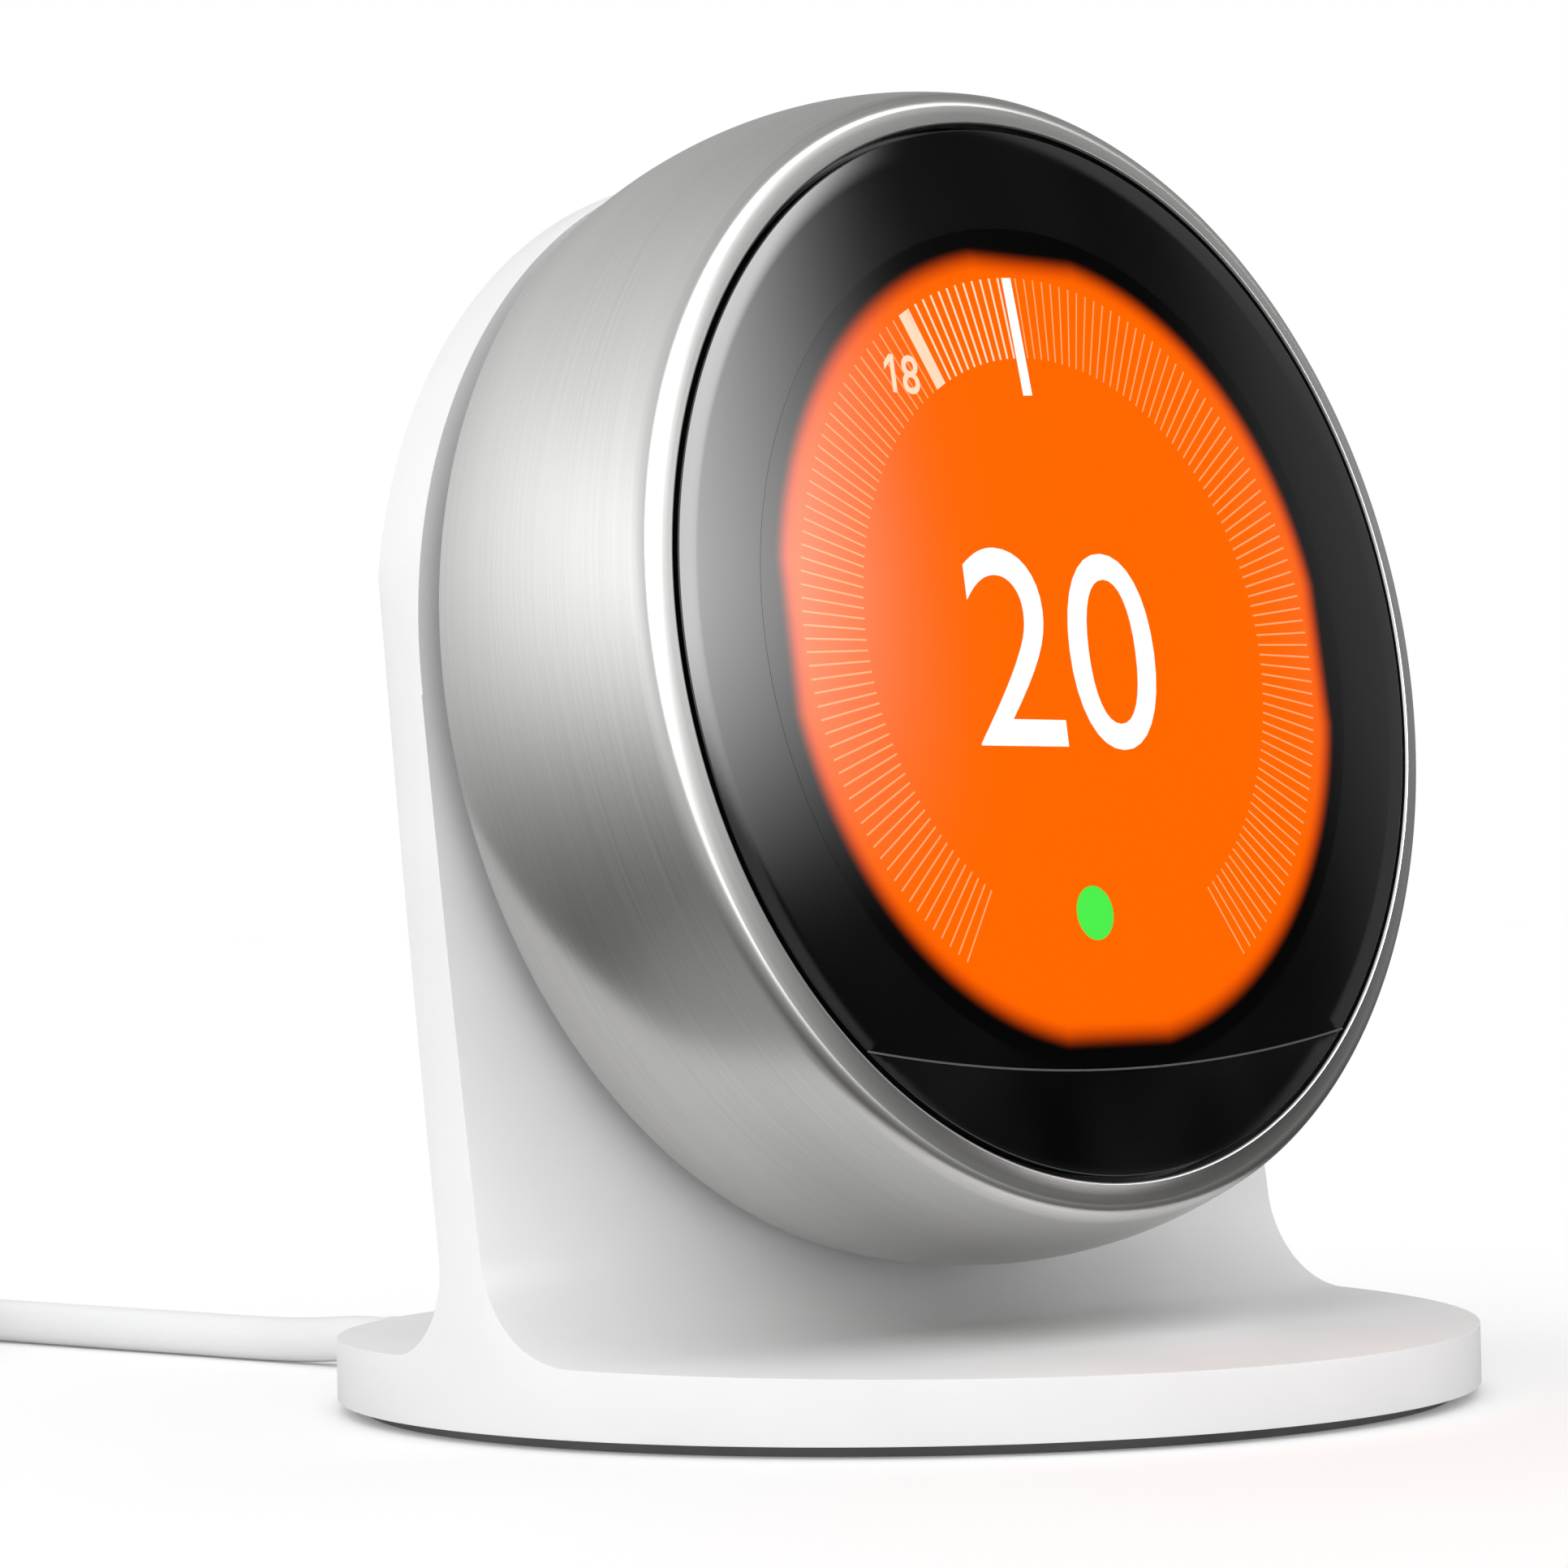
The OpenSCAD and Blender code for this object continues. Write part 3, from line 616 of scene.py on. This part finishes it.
def laid_on_glass(bm, lift):
    """Bends flat work, drawn in the dial's frame, onto the dome of the glass."""
    for corner in bm.verts:
        corner.co.z = dome(math.hypot(corner.co.x, corner.co.y)) + lift
    bmesh.ops.transform(bm, matrix=DIAL, verts=bm.verts)
    for face in bm.faces:
        face.normal_update()
        if face.normal.dot(OUT) < 0:
            face.normal_flip()
    return bm


def screen_piece(bm, name, lift, material, slot="panel_orange"):
    """Lays flat work on the glass as a piece of its own."""
    laid_on_glass(bm, lift)
    mesh = bpy.data.meshes.new(name)
    bm.to_mesh(mesh)
    bm.free()
    for face in mesh.polygons:
        face.use_smooth = True
    return piece_of(mesh, name, "face", slot, material=material)


def make_screen():
    """The lit screen: one sheet on the dome of the glass, fine enough to follow it."""
    reach = LIT_R + 2 * LIT_BLUR
    spoke = [(reach * i / 24, 0, 0) for i in range(25)]
    bm = spun(spoke, (0, 0, 1), 192, closed=False)
    screen_piece(bm, "screen_light", PRINT_LIFT, FINISHES["panel_orange"])


def add_bar(bm, clockwise, inner, outer, width):
    """A flat bar that points at the middle of the face, at an angle clockwise from the top."""
    made = bmesh.ops.create_grid(bm, x_segments=1, y_segments=6, size=0.5)["verts"]
    shape = Matrix.Diagonal((width, outer - inner, 1, 1))
    place = Matrix.Rotation(-clockwise, 4, "Z") @ Matrix.Translation((0, (inner + outer) / 2, 0))
    bmesh.ops.transform(bm, matrix=place @ shape, verts=made)


def make_ticks():
    """The ring of fine ticks, brighter between the room's reading and the set point."""
    quiet, bright, set_mark, reading_mark = (bmesh.new() for _ in range(4))
    for i in range(-TICK_HALF_COUNT, TICK_HALF_COUNT + 1):
        clockwise = i * TICK_PITCH
        if min(abs(clockwise - READING), abs(clockwise - SET_POINT)) < 0.6 * TICK_PITCH:
            continue
        if READING < clockwise < SET_POINT:
            add_bar(bright, clockwise, TICK_IN, TICK_OUT, 1.5 * TICK_W)
        else:
            add_bar(quiet, clockwise, TICK_IN, TICK_OUT, TICK_W)
    add_bar(set_mark, SET_POINT, SET_MARK_IN, TICK_OUT, MARK_W)
    add_bar(reading_mark, READING, TICK_IN, TICK_OUT, MARK_W)
    for bm, name, layer, finish in (
        (quiet, "quiet_ticks", 2, lit_mark("tick_quiet", (1.0, 0.36, 0.12), 1.0)),
        (bright, "bright_ticks", 2, lit_mark("tick_bright", (1.0, 0.72, 0.5), 1.0)),
        (set_mark, "set_mark", 3, lit_mark("mark_white", (1.0, 1.0, 1.0), 1.05)),
        (reading_mark, "reading_mark", 3, lit_mark("mark_pale", (1.0, 0.7, 0.48), 1.0)),
    ):
        screen_piece(bm, name, layer * PRINT_LIFT, finish)


def make_number(text, name, middle, height, widen, weight, material):
    """A number on the screen, as flat faces laid on the glass."""
    curve = bpy.data.curves.new(name, "FONT")
    curve.body = text
    curve.align_x = "CENTER"
    curve.align_y = "CENTER"
    curve.resolution_u = 8
    curve.offset = weight
    holder = bpy.data.objects.new(name, curve)
    bpy.context.scene.collection.objects.link(holder)
    bpy.context.view_layer.update()
    shown = holder.evaluated_get(bpy.context.evaluated_depsgraph_get())
    mesh = bpy.data.meshes.new_from_object(shown)
    bpy.data.objects.remove(holder)
    bm = bmesh.new()
    bm.from_mesh(mesh)
    xs = [corner.co.x for corner in bm.verts]
    ys = [corner.co.y for corner in bm.verts]
    size = height / (max(ys) - min(ys))
    to_middle = Matrix.Translation((-(max(xs) + min(xs)) / 2, -(max(ys) + min(ys)) / 2, 0))
    scaled = Matrix.Diagonal((size * widen, size, 1, 1))
    bmesh.ops.transform(bm, matrix=Matrix.Translation((*middle, 0)) @ scaled @ to_middle,
                        verts=bm.verts)
    bmesh.ops.triangulate(bm, faces=bm.faces)
    screen_piece(bm, name, 3 * PRINT_LIFT, material)


def make_one(name, middle, height, stroke, material):
    """A figure 1 of two strokes: the stem, and the short flag that leaves its top to the left."""
    x, y = middle
    top, foot = y + height / 2, y - height / 2
    bm = bmesh.new()
    left, right, tip = x - stroke / 2, x + stroke / 2, x - 1.9 * stroke
    for outline in (
        ((left, foot), (right, foot), (right, top), (left, top)),
        ((left, top), (tip, top - 0.24 * height), (tip, top - 0.42 * height),
         (left, top - 0.2 * height)),
    ):
        bm.faces.new([bm.verts.new((*corner, 0)) for corner in outline])
    screen_piece(bm, name, 3 * PRINT_LIFT, material)


def make_numbers():
    """The set point in the middle, the room's reading by its mark, and a green dot."""
    white = lit_mark("number_white", (1.0, 1.0, 1.0), 1.05)
    pale = lit_mark("number_pale", (1.0, 0.72, 0.5), 1.0)
    make_number("20", "target_number", TARGET_AT, TARGET_HIGH, 1.02, 0.0, white)
    make_number("8", "reading_eight", EIGHT_AT, EIGHT_HIGH, 0.95, 0.01, pale)
    make_one("reading_one", ONE_AT, ONE_HIGH, ONE_STROKE, pale)
    dot = bmesh.new()
    bmesh.ops.create_circle(dot, cap_ends=True, segments=48, radius=DOT_R,
                            matrix=Matrix.Translation((*DOT_AT, 0)))
    screen_piece(dot, "saving_dot", 3 * PRINT_LIFT, lit_mark("dot_green", (0.03, 0.85, 0.03), 1.0))


# ---------------------------------------------------------------- stand

def side_y(depth, height):
    """Where a depth behind the lens rim and a height meet, in the side view."""
    return FACE_MIDDLE.y + depth / math.cos(TILT) + (height - FACE_MIDDLE.z) * math.tan(TILT)


def blend(corner, first, second, radius, steps):
    """Points of a hollow round blend between two edges that leave a corner. Angles in degrees."""
    half = math.radians(abs(second - first) / 2)
    middle = math.radians((first + second) / 2)
    centre = (
        corner[0] + radius / math.sin(half) * math.cos(middle),
        corner[1] + radius / math.sin(half) * math.sin(middle),
    )
    turn = 90 - math.degrees(half)
    facing = math.degrees(middle) + 180
    return arc(centre, radius, facing + turn, facing - turn, steps)


def stand_outline():
    """The stand from the side, as (y, z) points: foot, both blends, and the leaning upright."""
    over = 1 * MM
    crown = FOOT_TOP + CROWN
    top = FACE_MIDDLE.z + UPRIGHT_R + 5 * MM
    front_y = side_y(STANDOFF, crown)
    rear_y = side_y(STANDOFF + UPRIGHT_T, crown)
    front_slope = math.atan(CROWN / (FOOT_R + front_y))
    rear_slope = math.atan(CROWN / (FOOT_R - rear_y))
    lean = 90 - math.degrees(TILT)
    edge = FOOT_R + over
    return (
        [(edge, PAD_H - over), (edge, FOOT_TOP - over * math.tan(rear_slope))]
        + blend((rear_y, crown), -math.degrees(rear_slope), lean, REAR_BLEND, 20)
        + [(side_y(STANDOFF + UPRIGHT_T, top), top), (side_y(STANDOFF, top), top)]
        + blend((front_y, crown), lean, 180 + math.degrees(front_slope), FRONT_BLEND, 24)
        + [(-edge, FOOT_TOP - over * math.tan(front_slope)), (-edge, PAD_H - over)]
    )


def drum(radius, low, high, segments=288):
    """A closed cylinder on Z between two heights."""
    bm = bmesh.new()
    bmesh.ops.create_cone(bm, cap_ends=True, segments=segments, radius1=radius, radius2=radius,
                          depth=high - low, matrix=Matrix.Translation((0, 0, (low + high) / 2)))
    return bm


def above_dial_middle():
    """What is cut away above the middle of the dial to leave the upright's round top."""
    block = bmesh.new()
    bmesh.ops.create_cube(block, size=PAST_STAND,
                          matrix=DIAL @ Matrix.Translation((0, PAST_STAND / 2, 0)))
    return block


def cover_pocket():
    """The flat pocket in the upright's back that the cover lies in."""
    deep = 10 * MM
    floor = -STANDOFF - UPRIGHT_T + COVER_T
    size = (COVER_WIDE + 2 * COVER_SEAM, COVER_HIGH + 2 * COVER_SEAM, deep, 1)
    place = DIAL @ Matrix.Translation((0, COVER_Y, floor - deep / 2))
    block = bmesh.new()
    bmesh.ops.create_cube(block, size=1, matrix=place @ Matrix.Diagonal(size))
    return block


def make_stand():
    """The white shell: foot, blends and upright, with every outer edge eased."""
    wide = 2 * FOOT_R + 10 * MM
    bm = bmesh.new()
    outline = [bm.verts.new((-wide / 2, y, z)) for y, z in stand_outline()]
    side = bm.faces.new(outline)
    grown = bmesh.ops.extrude_face_region(bm, geom=[side])
    moved = [g for g in grown["geom"] if isinstance(g, bmesh.types.BMVert)]
    bmesh.ops.translate(bm, vec=(wide, 0, 0), verts=moved)
    stand = finished(bm, "stand_body", "stand", "stand_plastic", ["stand_shell"])
    cut_by(stand, drum(FOOT_R, PAD_H, PAST_STAND), "INTERSECT")
    # The round top is the drum about the dial's axis, joined to all that lies below its middle.
    keep = drum(UPRIGHT_R, -PAST_STAND / 2, PAST_STAND / 2)
    bmesh.ops.transform(keep, matrix=DIAL, verts=keep.verts)
    top = bpy.data.objects.new("top", bpy.data.meshes.new("top"))
    bpy.context.scene.collection.objects.link(top)
    block = above_dial_middle()
    block.to_mesh(top.data)
    block.free()
    cut_by(top, keep, "DIFFERENCE")
    corner_cut = bmesh.new()
    corner_cut.from_mesh(top.data)
    bpy.data.objects.remove(top)
    cut_by(stand, corner_cut, "DIFFERENCE")
    ease_edges(stand, EDGE_EASE)
    cut_by(stand, cover_pocket(), "DIFFERENCE")
    stand.data.set_sharp_from_angle(angle=STAND_SHARP)


def ease_edges(piece, width, sharper_than=34):
    """Rounds a piece's sharp edges over."""
    bm = bmesh.new()
    bm.from_mesh(piece.data)
    bmesh.ops.remove_doubles(bm, verts=bm.verts, dist=2e-6)
    bmesh.ops.dissolve_degenerate(bm, edges=bm.edges, dist=2e-6)
    limit = math.radians(sharper_than)
    sharp = [e for e in bm.edges if len(e.link_faces) == 2 and e.calc_face_angle(0) > limit]
    bmesh.ops.bevel(bm, geom=sharp, offset=width, offset_type="OFFSET", segments=4, profile=0.5,
                    affect="EDGES", clamp_overlap=True, material=-1)
    bm.to_mesh(piece.data)
    bm.free()
    for face in piece.data.polygons:
        face.use_smooth = True
    piece.data.set_sharp_from_angle(angle=STAND_SHARP)


# ---------------------------------------------------------------- cord

def smooth(value):
    """0 to 1 with an easy start and end."""
    value = min(max(value, 0.0), 1.0)
    return value * value * (3 - 2 * value)


def coil_points(middle, per_turn=18):
    """Turns wound side by side and layer on layer. Each step to the next turn or layer takes a
    sixth of a turn, and comes just before the place where the turn below it steps."""
    outer = COIL_R + (COIL_COLUMNS - 1) / 2 * CORD_D
    step = 1 / 6
    moves = []
    phase = 5 / 6
    at = 0.0
    for layer in range(COIL_LAYERS):
        sideways = CORD_D if layer % 2 else -CORD_D
        for column in range(COIL_COLUMNS - 1):
            at = next_place(at, phase)
            moves.append((at, sideways, 0.0))
            at += step
        phase = (phase - step) % 1
        at = next_place(at, phase)
        moves.append((at, 0.0, CORD_D))
        at += step
        phase = (phase - step) % 1
    total = math.ceil(at - 1e-9)
    made = []
    for i in range(1, total * per_turn):
        turns = i / per_turn
        radius, height = outer, CORD_D / 2
        for start, sideways, rise in moves:
            done = smooth((turns - start) / step)
            radius += sideways * done
            height += rise * done
        angle = 2 * math.pi * turns
        made.append((middle[0] + radius * math.cos(angle), middle[1] + radius * math.sin(angle),
                     height))
    return made


def next_place(at, phase):
    """The first place at or after a turn count that lies at a phase of its turn."""
    whole = math.floor(at)
    while whole + phase < at - 1e-9:
        whole += 1
    return whole + phase


def make_cord():
    """The whole cord as one line: the run along the table, the coil, and the tail to the plug."""
    run = [Vector(p) * MM for p in RUN]
    tail = [Vector(p) * MM for p in TAIL]
    reach = COIL_R + (COIL_COLUMNS - 1) / 2 * CORD_D
    middle = (run[-1].x - reach, run[-1].y)
    points = run + [Vector(p) for p in coil_points(middle)] + tail
    curve = bpy.data.curves.new("supply_cord", "CURVE")
    curve.dimensions = "3D"
    curve.bevel_depth = CORD_D / 2
    curve.bevel_resolution = 4
    curve.use_fill_caps = True
    curve.resolution_u = 3
    spline = curve.splines.new("BEZIER")
    spline.bezier_points.add(len(points) - 1)
    for knot, point in zip(spline.bezier_points, points):
        knot.co = point
        knot.handle_left_type = "AUTO"
        knot.handle_right_type = "AUTO"
    cord = piece_of(curve, "supply_cord", "stand", "cord_jacket",
                    ["cord_run", "cord_coil", "cord_tail"])
    return cord, run[0], middle


def make_tie(middle):
    """A soft band round the coil's bundle."""
    half_w = COIL_COLUMNS * CORD_D / 2 + 0.25 * MM
    half_h = COIL_LAYERS * CORD_D / 2 + 0.1 * MM
    corner, wide, thick = 1.6 * MM, 8 * MM, 0.5 * MM
    bm = bmesh.new()
    outline = []
    for cx, cz, start in ((1, 1, 0), (-1, 1, 90), (-1, -1, 180), (1, -1, 270)):
        centre = (cx * (half_w - corner), cz * (half_h - corner))
        outline += arc(centre, corner, start, start + 90, 6)
    rim = [bm.verts.new((x, -wide / 2, z)) for x, z in outline]
    edges = [bm.edges.new((a, b)) for a, b in zip(rim, rim[1:] + rim[:1])]
    grown = bmesh.ops.extrude_edge_only(bm, edges=edges)
    moved = [g for g in grown["geom"] if isinstance(g, bmesh.types.BMVert)]
    bmesh.ops.translate(bm, vec=(0, wide, 0), verts=moved)
    bmesh.ops.recalc_face_normals(bm, faces=bm.faces)
    bmesh.ops.solidify(bm, geom=bm.faces[:], thickness=-thick)
    place = (
        Matrix.Translation((*middle, COIL_LAYERS * CORD_D / 2))
        @ Matrix.Rotation(TIE_TURN, 4, "Z")
        @ Matrix.Translation((COIL_R, 0, 0))
    )
    bmesh.ops.transform(bm, matrix=place, verts=bm.verts)
    return finished(bm, "cord_tie", "stand", "black_plastic")


def make_plug_body():
    """The plug's overmould: rounded, with grip grooves in each side."""
    low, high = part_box("plug_body")
    size = high - low
    bm = bmesh.new()
    bmesh.ops.create_cube(bm, size=1, matrix=Matrix.Translation((low + high) / 2)
                          @ Matrix.Diagonal((*size, 1)))
    along = [e for e in bm.edges if abs((e.verts[0].co - e.verts[1].co).x) > size.x / 2]
    bmesh.ops.bevel(bm, geom=along, offset=2.4 * MM, offset_type="OFFSET", segments=6, profile=0.5,
                    affect="EDGES", clamp_overlap=True, material=-1)
    starts = [low.x + GROOVE_FIRST + i * GROOVE_PITCH for i in range(GROOVES)]
    for start in starts:
        for x in (start, start + GROOVE_W):
            bmesh.ops.bisect_plane(bm, geom=bm.verts[:] + bm.edges[:] + bm.faces[:],
                                   plane_co=(x, 0, 0), plane_no=(1, 0, 0))
    ends = [f for f in bm.faces if abs(f.normal.x) > 0.9]
    rims = [e for f in ends for e in f.edges]
    bmesh.ops.bevel(bm, geom=list(set(rims)), offset=0.9 * MM, offset_type="OFFSET", segments=4,
                    profile=0.5, affect="EDGES", clamp_overlap=True, material=-1)
    grooves = []
    for face in bm.faces:
        x = face.calc_center_median().x
        in_groove = any(start < x < start + GROOVE_W for start in starts)
        if in_groove and abs(face.normal.y) > 0.9:
            grooves.append(face)
    bmesh.ops.inset_individual(bm, faces=grooves, thickness=0.15 * MM, depth=-0.35 * MM)
    return finished(bm, "plug_overmould", "stand", "cord_jacket", ["plug_body"])


def make_boot():
    """The strain relief: a soft sleeve that tapers to its end."""
    low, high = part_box("cord_boot")
    middle = Vector(((low.x + high.x) / 2, 0, (low.z + high.z) / 2))
    thick = (high.x - low.x) / 2
    bore = CORD_D / 2 - 0.05 * MM
    end_r = 1.85 * MM
    ease = 0.2 * MM
    section = [
        (bore, low.y), (thick, low.y), (thick, FOOT_R), (end_r + 0.02 * MM, high.y - ease),
        (end_r - 0.03 * MM, high.y), (bore, high.y),
    ]
    bm = spun([(r, y, 0) for r, y in section], (0, 1, 0), 48)
    bmesh.ops.translate(bm, vec=middle, verts=bm.verts)
    return finished(bm, "cord_sleeve", "stand", "cord_jacket", ["cord_boot"])


# ---------------------------------------------------------------- studio

# Directions in degrees: azimuth from +X, height from level. A window is (low, high, soft edge).
FLOOR_DROP = 0.02 * MM
WALLS_BY_HEIGHT = [
    (0.0, 0.15), (0.24, 0.15), (0.29, 0.05), (0.36, 0.09), (0.42, 0.17), (0.47, 0.3),
    (0.5, 0.39), (0.54, 0.47), (0.58, 0.56), (0.65, 0.61), (0.72, 0.5), (1.0, 0.4),
]
WALLS_LEVEL = 1.75
FLAG_AZIMUTH, FLAG_HEIGHT = (-51, -34.5, 1.5), (-4, 33, 5)
PANEL_START, PANEL_END, PANEL_SLANT = (-90, -60), (-51.2, -43.2), 0.1
PANEL_HEIGHT = (13.2, 34, 3.2)
PANEL_LEVEL = 7.5
SOFT_LIGHT = 0.65


def add_floor():
    """A white table, bright enough to run into the white behind it."""
    bm = bmesh.new()
    bmesh.ops.create_grid(bm, x_segments=1, y_segments=1, size=4)
    mesh = bpy.data.meshes.new("floor")
    bm.to_mesh(mesh)
    bm.free()
    paper = Finish("floor_paper", Base_Color=(0.9, 0.9, 0.9, 1), Roughness=0.7,
                   Emission_Color=(1, 1, 1, 1), Emission_Strength=0.06)
    mesh.materials.append(paper.material)
    floor = bpy.data.objects.new("floor", mesh)
    floor.location.z = -FLOOR_DROP
    floor.visible_glossy = False
    bpy.context.scene.collection.objects.link(floor)


def add_soft_sun(name, azimuth, height, strength, softness):
    """A wide soft light from far off, seen in no polished surface. Angles in degrees."""
    data = bpy.data.lights.new(name, "SUN")
    data.energy = strength
    data.angle = math.radians(softness)
    light = bpy.data.objects.new(name, data)
    turn, rise = math.radians(azimuth), math.radians(height)
    way = Vector((math.cos(turn) * math.cos(rise), math.sin(turn) * math.cos(rise), math.sin(rise)))
    light.rotation_euler = (-way).to_track_quat("-Z", "Y").to_euler()
    light.visible_glossy = False
    bpy.context.scene.collection.objects.link(light)


class Surround:
    """The studio as polished surfaces see it, worked out from the way that a ray leaves."""

    def __init__(self, tree):
        self.tree = tree
        way = tree.nodes.new("ShaderNodeTexCoord").outputs["Generated"]
        split = tree.nodes.new("ShaderNodeSeparateXYZ")
        tree.links.new(way, split.inputs[0])
        self.x, self.y, self.z = split.outputs
        self.azimuth = self.math("DEGREES", self.math("ARCTAN2", self.y, self.x))
        self.height = self.math("DEGREES", self.math("ARCSINE", self.z))

    def math(self, operation, first, second=None):
        made = self.tree.nodes.new("ShaderNodeMath")
        made.operation = operation
        for socket, value in zip(made.inputs, (first, second)):
            if isinstance(value, (int, float)):
                socket.default_value = value
            elif value is not None:
                self.tree.links.new(value, socket)
        return made.outputs[0]

    def rise(self, value, low, high):
        """0 below low, 1 above high, and smooth between them."""
        made = self.tree.nodes.new("ShaderNodeMapRange")
        made.interpolation_type = "SMOOTHSTEP"
        made.inputs["From Min"].default_value = low
        made.inputs["From Max"].default_value = high
        self.tree.links.new(value, made.inputs["Value"])
        return made.outputs["Result"]

    def window(self, value, low, high, soft):
        """1 between low and high, and 0 outside, over a soft edge."""
        return self.math("MULTIPLY", self.rise(value, low - soft, low + soft),
                         self.math("SUBTRACT", 1.0, self.rise(value, high - soft, high + soft)))

    def steps(self, value, stops):
        """A smooth curve through (value, amount) stops."""
        made = self.tree.nodes.new("ShaderNodeFloatCurve")
        line = made.mapping.curves[0]
        while len(line.points) < len(stops):
            line.points.new(0.5, 0.5)
        for point, (at, amount) in zip(line.points, stops):
            point.location = (at, amount)
        made.mapping.update()
        self.tree.links.new(value, made.inputs["Value"])
        return made.outputs[0]


def surround_brightness(room):
    """Brightest at the left near eye level, dim low down, dark in front on the right, with one
    bright soft panel in front that the glass shows at its left edge."""
    up_share = room.math("ADD", room.math("MULTIPLY", room.height, 1 / 180), 0.5)
    by_height = room.steps(up_share, WALLS_BY_HEIGHT)
    leftness = room.math("SUBTRACT", 0.85, room.math("MULTIPLY", room.x, 0.75))
    leftness = room.math("MAXIMUM", leftness, 0.35)
    walls = room.math("MULTIPLY", room.math("MULTIPLY", by_height, leftness), WALLS_LEVEL)
    flag = room.math("MULTIPLY", room.window(room.azimuth, *FLAG_AZIMUTH),
                     room.window(room.height, *FLAG_HEIGHT))
    walls = room.math("MULTIPLY", walls, room.math("SUBTRACT", 1.0, flag))
    slanted = room.math("SUBTRACT", room.azimuth, room.math("MULTIPLY", room.height, PANEL_SLANT))
    across = room.math("MULTIPLY", room.rise(room.azimuth, *PANEL_START),
                       room.math("SUBTRACT", 1.0, room.rise(slanted, *PANEL_END)))
    panel = room.math("MULTIPLY", across, room.window(room.height, *PANEL_HEIGHT))
    return room.math("ADD", walls, room.math("MULTIPLY", panel, PANEL_LEVEL))


def add_world():
    """White to the eye, even and soft as light, and shaped only for what polish shows."""
    world = bpy.data.worlds.new("studio")
    bpy.context.scene.world = world
    world.use_nodes = True
    tree = world.node_tree
    nodes, links = tree.nodes, tree.links
    nodes.clear()
    ray = nodes.new("ShaderNodeLightPath")
    shader = None
    for strength, rays in ((SOFT_LIGHT, None), (1.0, "Is Camera Ray"), (None, "Is Glossy Ray")):
        made = nodes.new("ShaderNodeBackground")
        made.inputs["Color"].default_value = (1, 1, 1, 1)
        if strength is None:
            links.new(surround_brightness(Surround(tree)), made.inputs["Strength"])
        else:
            made.inputs["Strength"].default_value = strength
        if rays is None:
            shader = made.outputs[0]
            continue
        mix = nodes.new("ShaderNodeMixShader")
        links.new(ray.outputs[rays], mix.inputs["Fac"])
        links.new(shader, mix.inputs[1])
        links.new(made.outputs[0], mix.inputs[2])
        shader = mix.outputs[0]
    links.new(shader, nodes.new("ShaderNodeOutputWorld").inputs["Surface"])


def add_studio():
    """Soft light from above and from the left in front."""
    bpy.context.scene.view_settings.view_transform = "Standard"
    add_world()
    add_floor()
    add_soft_sun("overhead", 200, 78, 1.25, 100)
    add_soft_sun("left_front", 215, 28, 0.4, 60)


# ---------------------------------------------------------------- the object

add_camera()
dress_cad_nodes()
cord, cord_exit, coil_middle = make_cord()
tie = make_tie(coil_middle)
plug_body = make_plug_body()
boot = make_boot()
make_stand()
make_ring()
make_lens()
make_seam()
make_screen()
make_ticks()
make_numbers()
add_studio()
